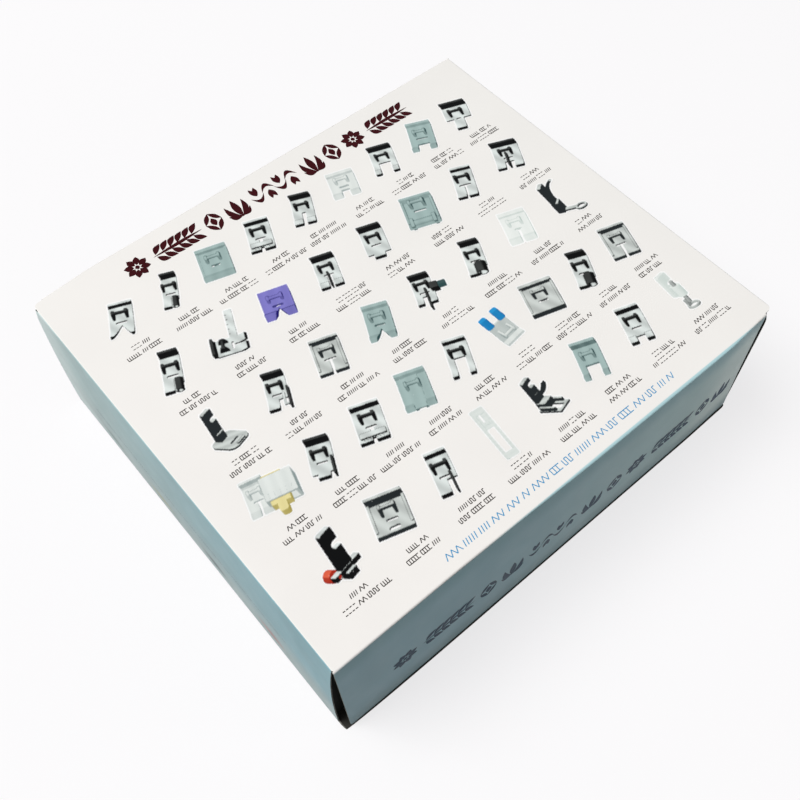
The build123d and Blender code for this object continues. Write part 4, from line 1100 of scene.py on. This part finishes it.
def motif_leaves(kind: Motif) -> list[tuple[float, ...]]:
    """The leaves of a motif, from its centre and over the band's height.

    Args:
        kind: The motif.

    Returns:
        For each leaf the x and y of its first and last tip, its width and its bend.
    """
    hands, start = (-1, 1), -kind.value / 2
    if kind is Motif.FLOWER:
        turns = np.arange(8) * math.pi / 4 + math.pi / 8
        petals = [(0.12 * x, 0.12 * y, 0.52 * x, 0.52 * y, 0.27, 0)
                  for x, y in zip(np.cos(turns), np.sin(turns))]
        return [*petals, (-0.1, 0, 0.1, 0, 0.2, 0)]
    if kind is Motif.EAR:
        places = start + np.arange(0.12, kind.value - 0.35, 0.33)
        grains = [(x, 0.06 * hand, x + 0.4, 0.44 * hand, 0.25, 0.05 * hand)
                  for x in places for hand in hands]
        return [(start, 0, -start, 0, 0.16, 0), *grains]
    if kind is Motif.LOZENGE:
        sides = [(0.36 * hand, 0, 0, 0.5 * rise, 0.2, 0) for hand in hands for rise in hands]
        return [*sides, (0, -0.22, 0, 0.22, 0.26, 0)]
    if kind is Motif.TULIP:
        petals = [[(0, -0.5, 0.4 * hand, 0.32, 0.24, -0.14 * hand),
                   (0, -0.46, 0.5 * hand, -0.2, 0.2, -0.1 * hand)] for hand in hands]
        return [(0, -0.5, 0, 0.5, 0.3, 0), *petals[0], *petals[1]]
    vine = []
    for step, hand in enumerate((-1, 1, -1, 1)):
        x = start + 0.56 * step
        vine.append((x, 0, x + 0.6, 0, 0.2, 0.3 * hand))
        vine += [(x + 0.3, 0, x + out, -0.48 * hand, 0.2, 0) for out in (0.18, 0.42)]
    return vine


def lay_motif(marks: Marks, kind: Motif, left: float, foot: float, height: float, ink: str) -> None:
    """Add one motif to a band.

    Args:
        marks: The print run that gets it.
        kind: The motif.
        left: Where it begins.
        foot: The band's lower edge.
        height: The band's height.
        ink: Its colour.
    """
    centre = np.array([left + kind.value * height / 2, foot + height / 2])
    for x0, y0, x1, y1, width, bend in motif_leaves(kind):
        tips = centre + height * np.array([[x0, y0], [x1, y1]])
        marks.leaf(*tips, width * height, ink, bend * height)


def lay_band(marks: Marks, start: float, end: float, foot: float, height: float, ink: str) -> None:
    """Fill a band with motifs, evenly spaced, from one end to the other.

    Args:
        marks: The print run that gets them.
        start: The band's left end.
        end: Its right end.
        foot: Its lower edge.
        height: Its height.
        ink: Its colour.
    """
    order = [Motif.FLOWER, Motif.EAR, Motif.LOZENGE, Motif.TULIP, Motif.VINE, Motif.TULIP, Motif.LOZENGE]
    chosen: list[Motif] = []
    least_gap = 0.14
    while sum(kind.value + least_gap for kind in chosen) * height < end - start - 0.8 * height:
        chosen.append(order[len(chosen) % len(order)])
    gap = (end - start - sum(kind.value for kind in chosen) * height) / (len(chosen) - 1)
    x = start
    for kind in chosen:
        lay_motif(marks, kind, x, foot, height, ink)
        x += kind.value * height + gap


@dataclass(frozen=True)
class Tint:
    """The two ends of a picture's tones: its shade and its light."""

    shade: str
    light: str

    def at(self, tone: np.ndarray) -> np.ndarray:
        """Linear RGB of tones from 0 to 1."""
        shade, light = (np.array(linear(end)[:3]) for end in (self.shade, self.light))
        return shade + tone[..., None] * (light - shade)


BUTTON_TIP = 9.5  # millimetres of the button foot that its rubber covers
STEEL_TINT = Tint("#08090a", "#e3eae7")
SATIN_TINT = Tint("#23282a", "#d3d9d5")
GREEN_TINT = Tint("#2f4b4c", "#a9c0bd")
CLEAR_TINT = Tint("#8e9c9b", "#e6ebe7")
PALE_TINT = Tint("#bccac4", "#eef2ee")
INDIGO_TINT = Tint("#1b1766", "#8580cc")
BLUE_TINT = Tint("#0d5c9c", "#2fa0dd")
RED_TINT = Tint("#a82c1c", "#e9694d")
YELLOW_TINT = Tint("#a99a4e", "#efe3a4")


@dataclass(frozen=True)
class Picture:
    """A picture of one foot on the cover, drawn from the foot's own mesh."""

    nodes: tuple[str, ...]
    tint: Tint = STEEL_TINT
    tall: float = 18.0
    turn: float = -7.0
    azimuth: float = 14.0
    elevation: float = 57.0
    lying: bool = False
    accent: Tint | None = None
    pitch: float = 0.28  # of the printed points, in millimetres
    fineness: int = 2  # cells of the drawing to a printed point
    samples: int = 9  # points scattered over each cell
    margin: int = 3  # printed points left free round the foot
    edge_drop: float = 0.7  # millimetres of depth that make a dark edge
    edge_tone: float = 0.2

    def triangles(self) -> tuple[np.ndarray, np.ndarray]:
        """The foot's triangles in millimetres, and for each the number of its node."""
        made, owner = [], []
        for number, name in enumerate(self.nodes):
            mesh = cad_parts[name].data
            mesh.calc_loop_triangles()
            points = np.empty(len(mesh.vertices) * 3, np.float32)
            mesh.vertices.foreach_get("co", points)
            corners = np.empty(len(mesh.loop_triangles) * 3, np.int32)
            mesh.loop_triangles.foreach_get("vertices", corners)
            made.append(points.reshape(-1, 3)[corners.reshape(-1, 3)] / MM)
            owner.append(np.full(len(made[-1]), number))
        corners = np.concatenate(made)
        if self.lying:
            # a foot laid on its side is stood up: its shank points up again
            corners = np.stack([corners[..., 2], -corners[..., 1], corners[..., 0]], axis=-1)
        return corners, np.concatenate(owner)

    def draw(self) -> tuple[np.ndarray, np.ndarray]:
        """Draw the foot by scattering points over its faces, nearest last.

        Returns:
            Linear RGB of each cell, and how much of each cell the foot covers.
        """
        corners, owner = self.triangles()
        axes = view_axes(self.azimuth, self.elevation, self.turn)
        normal = np.cross(corners[:, 1] - corners[:, 0], corners[:, 2] - corners[:, 0])
        area = np.linalg.norm(normal, axis=1)
        seen = (area > 1e-7) & ((normal @ axes[2]) > 0.01 * area)
        corners, owner, normal, area = corners[seen], owner[seen], normal[seen], area[seen]
        normal = normal / area[:, None]
        flat = corners @ axes.T
        low, high = flat.min(axis=(0, 1)), flat.max(axis=(0, 1))
        scale = self.tall / max(high[0] - low[0], high[1] - low[1])
        cell = self.pitch / self.fineness
        shown = area / 2 * np.clip(normal @ axes[2], 0, 1) * (scale / cell) ** 2
        tries = (shown * self.samples).astype(int) + self.samples
        chosen = np.repeat(np.arange(len(tries)), tries)
        random = np.random.default_rng(7)
        a, b = random.random(len(chosen)), random.random(len(chosen))
        a, b = np.where(a + b > 1, 1 - a, a)[:, None], np.where(a + b > 1, 1 - b, b)[:, None]

        def scattered(points: np.ndarray) -> np.ndarray:
            """Places on the chosen triangles."""
            first, second, third = (points[chosen, i] for i in range(3))
            return first + a * (second - first) + b * (third - first)

        place, real = scattered(flat), scattered(corners)
        printed = np.ceil((high - low)[:2] * scale / self.pitch).astype(int) + 2 * self.margin
        cells = self.fineness * printed
        margin = self.margin * self.fineness
        column = ((place[:, 0] - low[0]) * scale / cell).astype(int) + margin
        row = ((place[:, 1] - low[1]) * scale / cell).astype(int) + margin
        order = np.argsort(place[:, 2])
        depth = np.full((cells[0], cells[1]), -1e3)
        pick = np.full((cells[0], cells[1]), -1)
        depth[column[order], row[order]] = place[order, 2]
        pick[column[order], row[order]] = order
        hit = pick >= 0
        face = normal[chosen][pick] @ axes.T
        tone = self.tone(face, real[pick], corners)
        drop = np.max([np.roll(depth, shift, axis) - depth for shift in (-1, 1) for axis in (0, 1)], axis=0)
        tone = tone * np.where(drop * scale > self.edge_drop, self.edge_tone, 1.0)
        colour = self.shaded(tone, owner[chosen][pick], real[pick], corners)
        colour = np.where(hit[..., None], colour, 0)
        block = (cells[0] // self.fineness, self.fineness, cells[1] // self.fineness, self.fineness)
        cover = hit.reshape(block).sum(axis=(1, 3))
        total = colour.reshape(*block, 3).sum(axis=(1, 3))
        return total / np.maximum(cover, 1)[..., None], cover / self.fineness**2

    def tone(self, face: np.ndarray, place: np.ndarray, corners: np.ndarray) -> np.ndarray:
        """Light and dark: plated steel mirrors a bright wall behind and a dark room in front.

        The mirrored direction's upward part decides for steel. Plastic takes its tone from how far
        a face looks up.
        """
        nx, ny, nz = (face[..., axis] for axis in range(3))
        if self.tint not in (STEEL_TINT, SATIN_TINT):
            uneven = 0.05 * np.sin(0.8 * place[..., 0])
            return np.clip(0.1 + 0.75 * nz + 0.4 * ny - 0.15 * nx + uneven, 0, 1)
        mirrored = 2 * nz * ny - 0.3 * nz * nx
        uneven = 0.88 + 0.12 * np.sin(0.55 * place[..., 0] + 0.4 * place[..., 1])
        tone = smooth(mirrored, 0.15, 0.65) * uneven
        low, high = corners[..., 2].min(), corners[..., 2].max()
        if not self.lying and self.tint is STEEL_TINT:
            # what stands high on a plated foot mirrors the dark room too
            raised = (place[..., 2] - low > 0.6 * (high - low)) & (place[..., 2] - low > 2.6)
            tone = np.where(raised, 0.06 * tone, tone)
        return tone

    def shaded(
        self, tone: np.ndarray, owner: np.ndarray, place: np.ndarray, corners: np.ndarray,
    ) -> np.ndarray:
        """Colour the tones with the tint of the foot, or of its accent."""
        colour = self.tint.at(tone)
        if self.accent is None:
            return colour
        tip = place[..., 1] < corners[..., 1].min() + BUTTON_TIP
        part = owner > 0 if len(self.nodes) > 1 else tip
        return np.where(part[..., None], self.accent.at(tone), colour)

    def put(self, marks: Marks, centre: Point) -> None:
        """Add the picture to a print run, with a narrow white margin round the foot."""
        colour, cover = self.draw()
        paper, halo = np.array(linear(PAPER)[:3]), np.array(linear("#fdfdfc")[:3])
        columns, rows = cover.shape
        padded = np.pad(cover, 2)
        near = sum(padded[i : i + columns, j : j + rows] for i in range(5) for j in range(5)) > 0
        close = sum(padded[i : i + columns, j : j + rows] for i in (1, 2, 3) for j in (1, 2, 3)) > 0
        ground = np.where(close[..., None], halo, paper)
        shown = ground + cover[..., None] * (colour - ground)
        shown = np.concatenate([shown, np.ones((columns, rows, 1))], axis=-1)
        x = (np.arange(columns) - (columns - 1) / 2) * self.pitch + centre[0]
        y = (np.arange(rows) - (rows - 1) / 2) * self.pitch + centre[1]
        points = np.stack(np.meshgrid(x, y, indexing="ij"), axis=-1).reshape(-1, 2)
        faces = grid_faces(columns, rows)
        faces = faces[near.reshape(-1)[faces].all(axis=1)]
        used, faces = np.unique(faces, return_inverse=True)
        marks.put(points[used], faces.reshape(-1, 4), shown.reshape(-1, 4)[used])


def plated(*names: str, **settings) -> list[Picture]:
    """Pictures of plated steel feet, one for each node."""
    return [Picture((name,), **settings) for name in names]


@dataclass
class Cover:
    """The cover's print: rows of pictures, a stitch sample under each, and two bands."""

    carton: Carton
    left: float = -89.0
    right: float = 91.0
    first_row: float = 60.0  # of the rear row's pictures, in millimetres from the carton's middle
    row_pitch: float = 29.6
    sample_drop: float = 13.4
    sample_pitch: float = 3.2  # between the two lines of a sample
    sample_height: float = 1.55
    sample_stroke: float = 0.3
    sample_ink: str = "#4c4744"
    band_half: float = 67.0
    band_foot: float = 71.3
    band_height: float = 9.6
    band_ink: str = "#3b0f14"
    line_length: float = 104.0
    line_middle: float = -81.2
    line_height: float = 2.3
    line_stroke: float = 0.32
    line_ink: str = "#4a9aca"

    def rows(self) -> list[list[Picture]]:
        """The pictures of each row, rear row first."""
        rear = [
            *plated("universal_foot", "narrow_hem_foot_3mm", tall=17.0),
            Picture(("invisible_zipper_foot",), GREEN_TINT),
            *plated("cording_foot_5_hole", "straight_stitch_foot"),
            Picture(("clear_applique_foot",), CLEAR_TINT, tall=16.0),
            *plated("wide_opening_foot"),
            Picture(("satin_stitch_foot",), GREEN_TINT),
            *plated("zipper_foot"),
        ]
        second = [
            *plated("lace_roll_foot_3mm", "stitch_guide_foot", tall=19.0),
            Picture(("bead_foot",), INDIGO_TINT, tall=16.0),
            *plated("edge_joining_foot", "quilting_foot"),
            Picture(("roller_foot", "roller_foot_roller"), GREEN_TINT, tall=19.0),
            *plated("standard_foot", "fringe_foot"),
        ]
        third = [
            Picture(("shirring_foot",), SATIN_TINT, tall=19.0, lying=True, elevation=34.0, azimuth=-38.0),
            *plated("overcast_foot"),
            Picture(("pintuck_foot_7_groove",), SATIN_TINT),
            Picture(("zigzag_foot",), GREEN_TINT),
            Picture(("blind_stitch_foot", "blind_stitch_guide_screw"), STEEL_TINT, accent=GREEN_TINT),
            *plated("wide_hem_foot_6mm"),
            Picture(("clear_zipper_foot",), PALE_TINT),
            Picture(("darning_foot_low_shank",), SATIN_TINT, tall=20.0, lying=True,
                    elevation=30.0, azimuth=-60.0),
        ]
        fourth = [
            Picture(("bias_binder_foot", "bias_binder_guide"), CLEAR_TINT, tall=20.0, turn=0.0,
                    accent=YELLOW_TINT),
            *plated("quilting_guide_foot", "cording_foot_7_hole"),
            Picture(("beading_foot",), GREEN_TINT),
            *plated("open_toe_foot"),
            Picture(("button_foot",), CLEAR_TINT, accent=BLUE_TINT, turn=-160.0, tall=16.0),
            Picture(("double_welting_foot",), SATIN_TINT),
            *plated("lace_roll_foot_6mm"),
            Picture(("pintuck_foot_9_groove",), SATIN_TINT),
        ]
        front = [
            Picture(("zipper_foot_low_shank", "zipper_foot_thumb_screw"), STEEL_TINT, tall=19.0, lying=True,
                    elevation=28.0, azimuth=-35.0, accent=RED_TINT),
            Picture(("braiding_foot",), SATIN_TINT),
            *plated("sewing_foot"),
            Picture(("buttonhole_foot", "buttonhole_foot_slider"), PALE_TINT, tall=21.5, turn=-96.0,
                    azimuth=0.0, elevation=64.0),
            Picture(("knit_foot",), SATIN_TINT, tall=18.0, lying=True, elevation=30.0, azimuth=-40.0),
            Picture(("embroidery_foot",), GREEN_TINT),
            *plated("cording_foot"),
            Picture(("darning_foot", "darning_foot_ring"), PALE_TINT, tall=19.0, lying=True, elevation=26.0,
                    azimuth=-35.0, accent=SATIN_TINT),
        ]
        return [rear, second, third, fourth, front]

    def centres(self, number: int, count: int) -> list[Point]:
        """Where the pictures of a row go, evenly spaced."""
        pitch = (self.right - self.left) / count
        y = self.first_row - number * self.row_pitch
        return [(self.left + (place + 0.5) * pitch, y) for place in range(count)]

    def pictures(self) -> None:
        """Print the pictures, one run for each row."""
        for number, row in enumerate(self.rows()):
            marks = Marks()
            for picture, centre in zip(row, self.centres(number, len(row))):
                picture.put(marks, centre)
            marks.build(f"cover_pictures_row_{number + 1}", self.carton, Face.TOP, "carton")

    def samples(self) -> None:
        """Print two short lines of stitch samples under each picture."""
        marks = Marks()
        kinds = list(Stitch)
        random = np.random.default_rng(11)
        for number, row in enumerate(self.rows()):
            for x, y in self.centres(number, len(row)):
                for line, length in enumerate((random.uniform(7, 12), random.uniform(12, 18))):
                    middle = y - self.sample_drop - self.sample_pitch * line
                    ends = stitch_sample(random, kinds, x, length, middle, self.sample_height)
                    marks.strokes(ends, self.sample_stroke, self.sample_ink)
        marks.build("cover_stitch_samples", self.carton, Face.TOP, "carton")

    def band(self) -> None:
        """Print the ornamental band along the cover's rear edge and the line along its front."""
        marks = Marks()
        lay_band(marks, -self.band_half, self.band_half, self.band_foot, self.band_height, self.band_ink)
        marks.build("cover_band", self.carton, Face.TOP, "carton")
        line = Marks()
        kinds = [Stitch.ZIGZAG, Stitch.BATTLEMENT, Stitch.BLANKET, Stitch.LADDER, Stitch.SLANT]
        ends = stitch_sample(np.random.default_rng(5), kinds, 0.0, self.line_length,
                             self.line_middle, self.line_height)
        line.strokes(ends, self.line_stroke, self.line_ink)
        line.build("cover_stitch_line", self.carton, Face.TOP, "carton")


@dataclass
class SidePrint:
    """What is printed on the carton's upright faces."""

    carton: Carton
    band_start: float = -79.0
    band_end: float = 92.0
    band_foot: float = 20.5
    band_height: float = 10.6
    band_ink: str = "#16384c"
    line_length: float = 118.0
    line_middle: float = 28.0
    line_height: float = 1.3
    line_stroke: float = 0.25
    line_ink: str = "#7f9aa2"
    patches: tuple[str, ...] = ("#8ba3a0", "#c3c5a4", "#5d6f73", "#c48e8c")
    patch_start: float = -54.0
    patch_pitch: float = 34.0
    patch_middle: float = 12.0

    def ends(self) -> None:
        """The ornamental band on both closures."""
        for face, name in ((Face.FRONT, "front"), (Face.REAR, "rear")):
            marks = Marks()
            lay_band(marks, self.band_start, self.band_end, self.band_foot, self.band_height, self.band_ink)
            marks.build(f"{name}_band", self.carton, face, f"{name}_closure")

    def sides(self) -> None:
        """A fine stitch line and four soft colour patches on both side panels."""
        kinds = [Stitch.BLANKET, Stitch.ZIGZAG]
        for face, name in ((Face.LEFT, "left"), (Face.RIGHT, "right")):
            marks = Marks()
            ends = stitch_sample(np.random.default_rng(3), kinds, 0, self.line_length,
                                 self.line_middle, self.line_height)
            marks.strokes(ends, self.line_stroke, self.line_ink)
            for number, ink in enumerate(self.patches):
                start = self.patch_start + self.patch_pitch * number
                soft_patch(marks, (start, self.patch_middle), (19.0, 11.0), ink, face)
            marks.build(f"{name}_side_marks", self.carton, face, "carton", SIDE_PRESS_INK)


def soft_patch(
    marks: Marks, centre: Point, size: Point, ink: str, face: Face,
    strength: float = 0.8,
) -> None:
    """A patch of colour that fades into the side's ink and its painted light: a bell curve in each
    direction.
    """
    s, t = np.meshgrid(np.linspace(-1, 1, 25), np.linspace(-1, 1, 17), indexing="ij")
    points = np.stack([centre[0] + s * size[0] / 2, centre[1] + t * size[1] / 2], axis=-1)
    turn = 1 if face is Face.LEFT else -1
    ground = SIDE.ink_at(np.stack([0 * s, -turn * points[..., 0], points[..., 1]], axis=-1))
    share = ((1 - s**2) ** 2 * (1 - t**2) ** 2)[..., None]
    colours = ground + strength * share * (np.array(linear(ink)) - ground)
    marks.put(points.reshape(-1, 2), grid_faces(*s.shape), colours.reshape(-1, 4))


# What the carton holds


@dataclass(frozen=True)
class Contents:
    """The trays and the presser feet, which keep their CAD shapes and get their materials."""

    satin: tuple[str, ...] = (
        "roller_foot", "braiding_foot", "double_welting_foot", "pintuck_foot_7_groove",
        "pintuck_foot_9_groove", "shirring_foot", "knit_foot", "darning_foot_ring",
        "darning_foot_low_shank",
    )
    green: tuple[str, ...] = (
        "satin_stitch_foot", "zigzag_foot", "embroidery_foot", "beading_foot",
        "invisible_zipper_foot",
    )
    clear: tuple[str, ...] = (
        "clear_zipper_foot", "clear_applique_foot", "buttonhole_foot", "buttonhole_foot_slider",
        "bias_binder_foot", "darning_foot",
    )

    def finish_of(self, node: str) -> Finish:
        """The finish of one CAD node."""
        if node.endswith("_tray"):
            return SHEET
        if node == "button_foot":
            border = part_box(node)[0].y + BUTTON_TIP * MM
            return TwoZone("button_foot_zones", BLUE_RUBBER, CLEAR, border)
        groups = (
            (self.satin, SATIN), (self.green, GREY_GREEN), (self.clear, CLEAR),
            (("bead_foot",), INDIGO), (("zipper_foot_thumb_screw",), RED_KNOB),
            (("bias_binder_guide",), PALE_YELLOW),
        )
        return next((finish for names, finish in groups if node in names), CHROME)

    def dress(self) -> None:
        """Give every CAD node that still shows its finish."""
        for name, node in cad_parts.items():
            if node.hide_render:
                continue
            finish = self.finish_of(name)
            for slot in node.material_slots:
                slot.material = finish.material()
            LOG.info("%s: %s", name, finish.name)


# Studio


@dataclass(frozen=True)
class SoftBox:
    """A square lamp: its place and aim in metres, the length of its side, its power in watts."""

    name: str
    place: tuple[float, float, float]
    aim: tuple[float, float, float]
    size: float
    power: float

    def build(self) -> None:
        """Set it up."""
        data = bpy.data.lights.new(self.name, "AREA")
        data.size, data.energy = self.size, self.power
        lamp = new_object(self.name, data)
        lamp.location = self.place
        aim = Vector(self.aim) - Vector(self.place)
        lamp.rotation_euler = aim.to_track_quat("-Z", "Y").to_euler()


@dataclass(frozen=True)
class Studio:
    """Pale floor, soft light and the camera, at the photograph's viewing angle."""

    azimuth: float = -40.55
    elevation: float = 58.59
    roll: float = -0.17
    focal_pixels: float = 987.0
    image_pixels: float = 800.0
    place: tuple[float, float, float] = (-137.7, -159.8, 346.8)
    floor_half: float = 4.0  # metres
    floor_drop: float = 0.02  # millimetres below the carton's base
    floor_seen: str = "#fcfbfc"
    floor_glow: float = 0.76  # share of the floor's white that a shadow doesn't dim
    glow_from: float = 0.3  # metres from the carton's middle, from where on that share grows
    glow_to: float = 1.1
    floor_bounce: str = "#7e8284"
    ambient: float = 0.2
    key: SoftBox = SoftBox("key", (-1.42, 0.84, 2.9), (0, 0, 0.03), 2.0, 107.0)
    rim: SoftBox = SoftBox("rim", (0.34, -0.42, 0.2), (0.09, -0.08, 0.03), 0.16, 0.3)

    def floor(self) -> None:
        """A plane that is white to the eye and grey to the light that it throws back."""
        half = self.floor_half
        corners = [(-half, -half, 0), (half, -half, 0), (half, half, 0), (-half, half, 0)]
        mesh = bpy.data.meshes.new("floor")
        mesh.from_pydata(corners, [], [(0, 1, 2, 3)])
        mesh.transform(Matrix.Translation((0, 0, -self.floor_drop * MM)))
        made = bpy.data.materials.new("floor_paper")
        tree = empty_tree(made)
        seen = seen_rays(tree)
        colour = blend_colours(tree, seen, self.floor_bounce, self.floor_seen)
        paper = add(tree, "BsdfDiffuse", {"Color": colour}).outputs[0]
        white = add(tree, "Emission", {"Color": linear(self.floor_seen), "Strength": 1.0}).outputs[0]
        away = add(tree, "VectorMath", {0: place_on(tree)}, operation="LENGTH").outputs["Value"]
        glow = spread(tree, away, self.glow_from, self.glow_to, self.floor_glow, 1.0)
        share = add(tree, "Math", {0: seen, 1: glow}, operation="MULTIPLY").outputs[0]
        surface = add(tree, "MixShader", {0: share, 1: paper, 2: white}).outputs[0]
        add(tree, "OutputMaterial", {"Surface": surface})
        mesh.materials.append(made)
        floor = new_object("floor", mesh)

    def world(self) -> None:
        """White to the eye and in mirrors, dim as a light."""
        world = bpy.data.worlds.new("studio")
        tree = empty_tree(world)
        strength = spread(tree, seen_rays(tree), 0, 1, self.ambient, 1.0)
        inputs = {"Color": linear(self.floor_seen), "Strength": strength}
        surface = add(tree, "Background", inputs).outputs[0]
        add(tree, "OutputWorld", {"Surface": surface})
        bpy.context.scene.world = world

    def camera(self) -> None:
        """The photograph's camera, from its fit to the carton's corners."""
        axes = view_axes(self.azimuth, self.elevation, self.roll)
        data = bpy.data.cameras.new("camera")
        data.sensor_width = 36.0
        data.lens = self.focal_pixels / self.image_pixels * data.sensor_width
        data.clip_start, data.clip_end = 0.01, 20
        camera = new_object("camera", data)
        turn = Matrix(axes.tolist()).transposed().to_4x4()
        camera.matrix_world = Matrix.Translation(Vector(self.place) * MM) @ turn
        bpy.context.scene.camera = camera

    def build(self) -> None:
        """Set up the floor, the light and the camera."""
        self.floor()
        self.world()
        self.key.build()
        self.rim.build()
        self.camera()
        bpy.context.scene.view_settings.view_transform = "Standard"


def main() -> None:
    """Build and dress the carton, print it, dress what it holds, and set up the studio."""
    logging.basicConfig(level=logging.INFO, format="%(message)s")
    carton = Carton.from_frame()
    carton.sleeve()
    carton.end("front", Face.FRONT, FRONT)
    carton.end("rear", Face.REAR, REAR)
    cover = Cover(carton)
    cover.pictures()
    cover.samples()
    cover.band()
    side_print = SidePrint(carton)
    side_print.ends()
    side_print.sides()
    Contents().dress()
    Studio().build()
    bpy.context.view_layer.update()


if __name__ == "__main__":
    main()
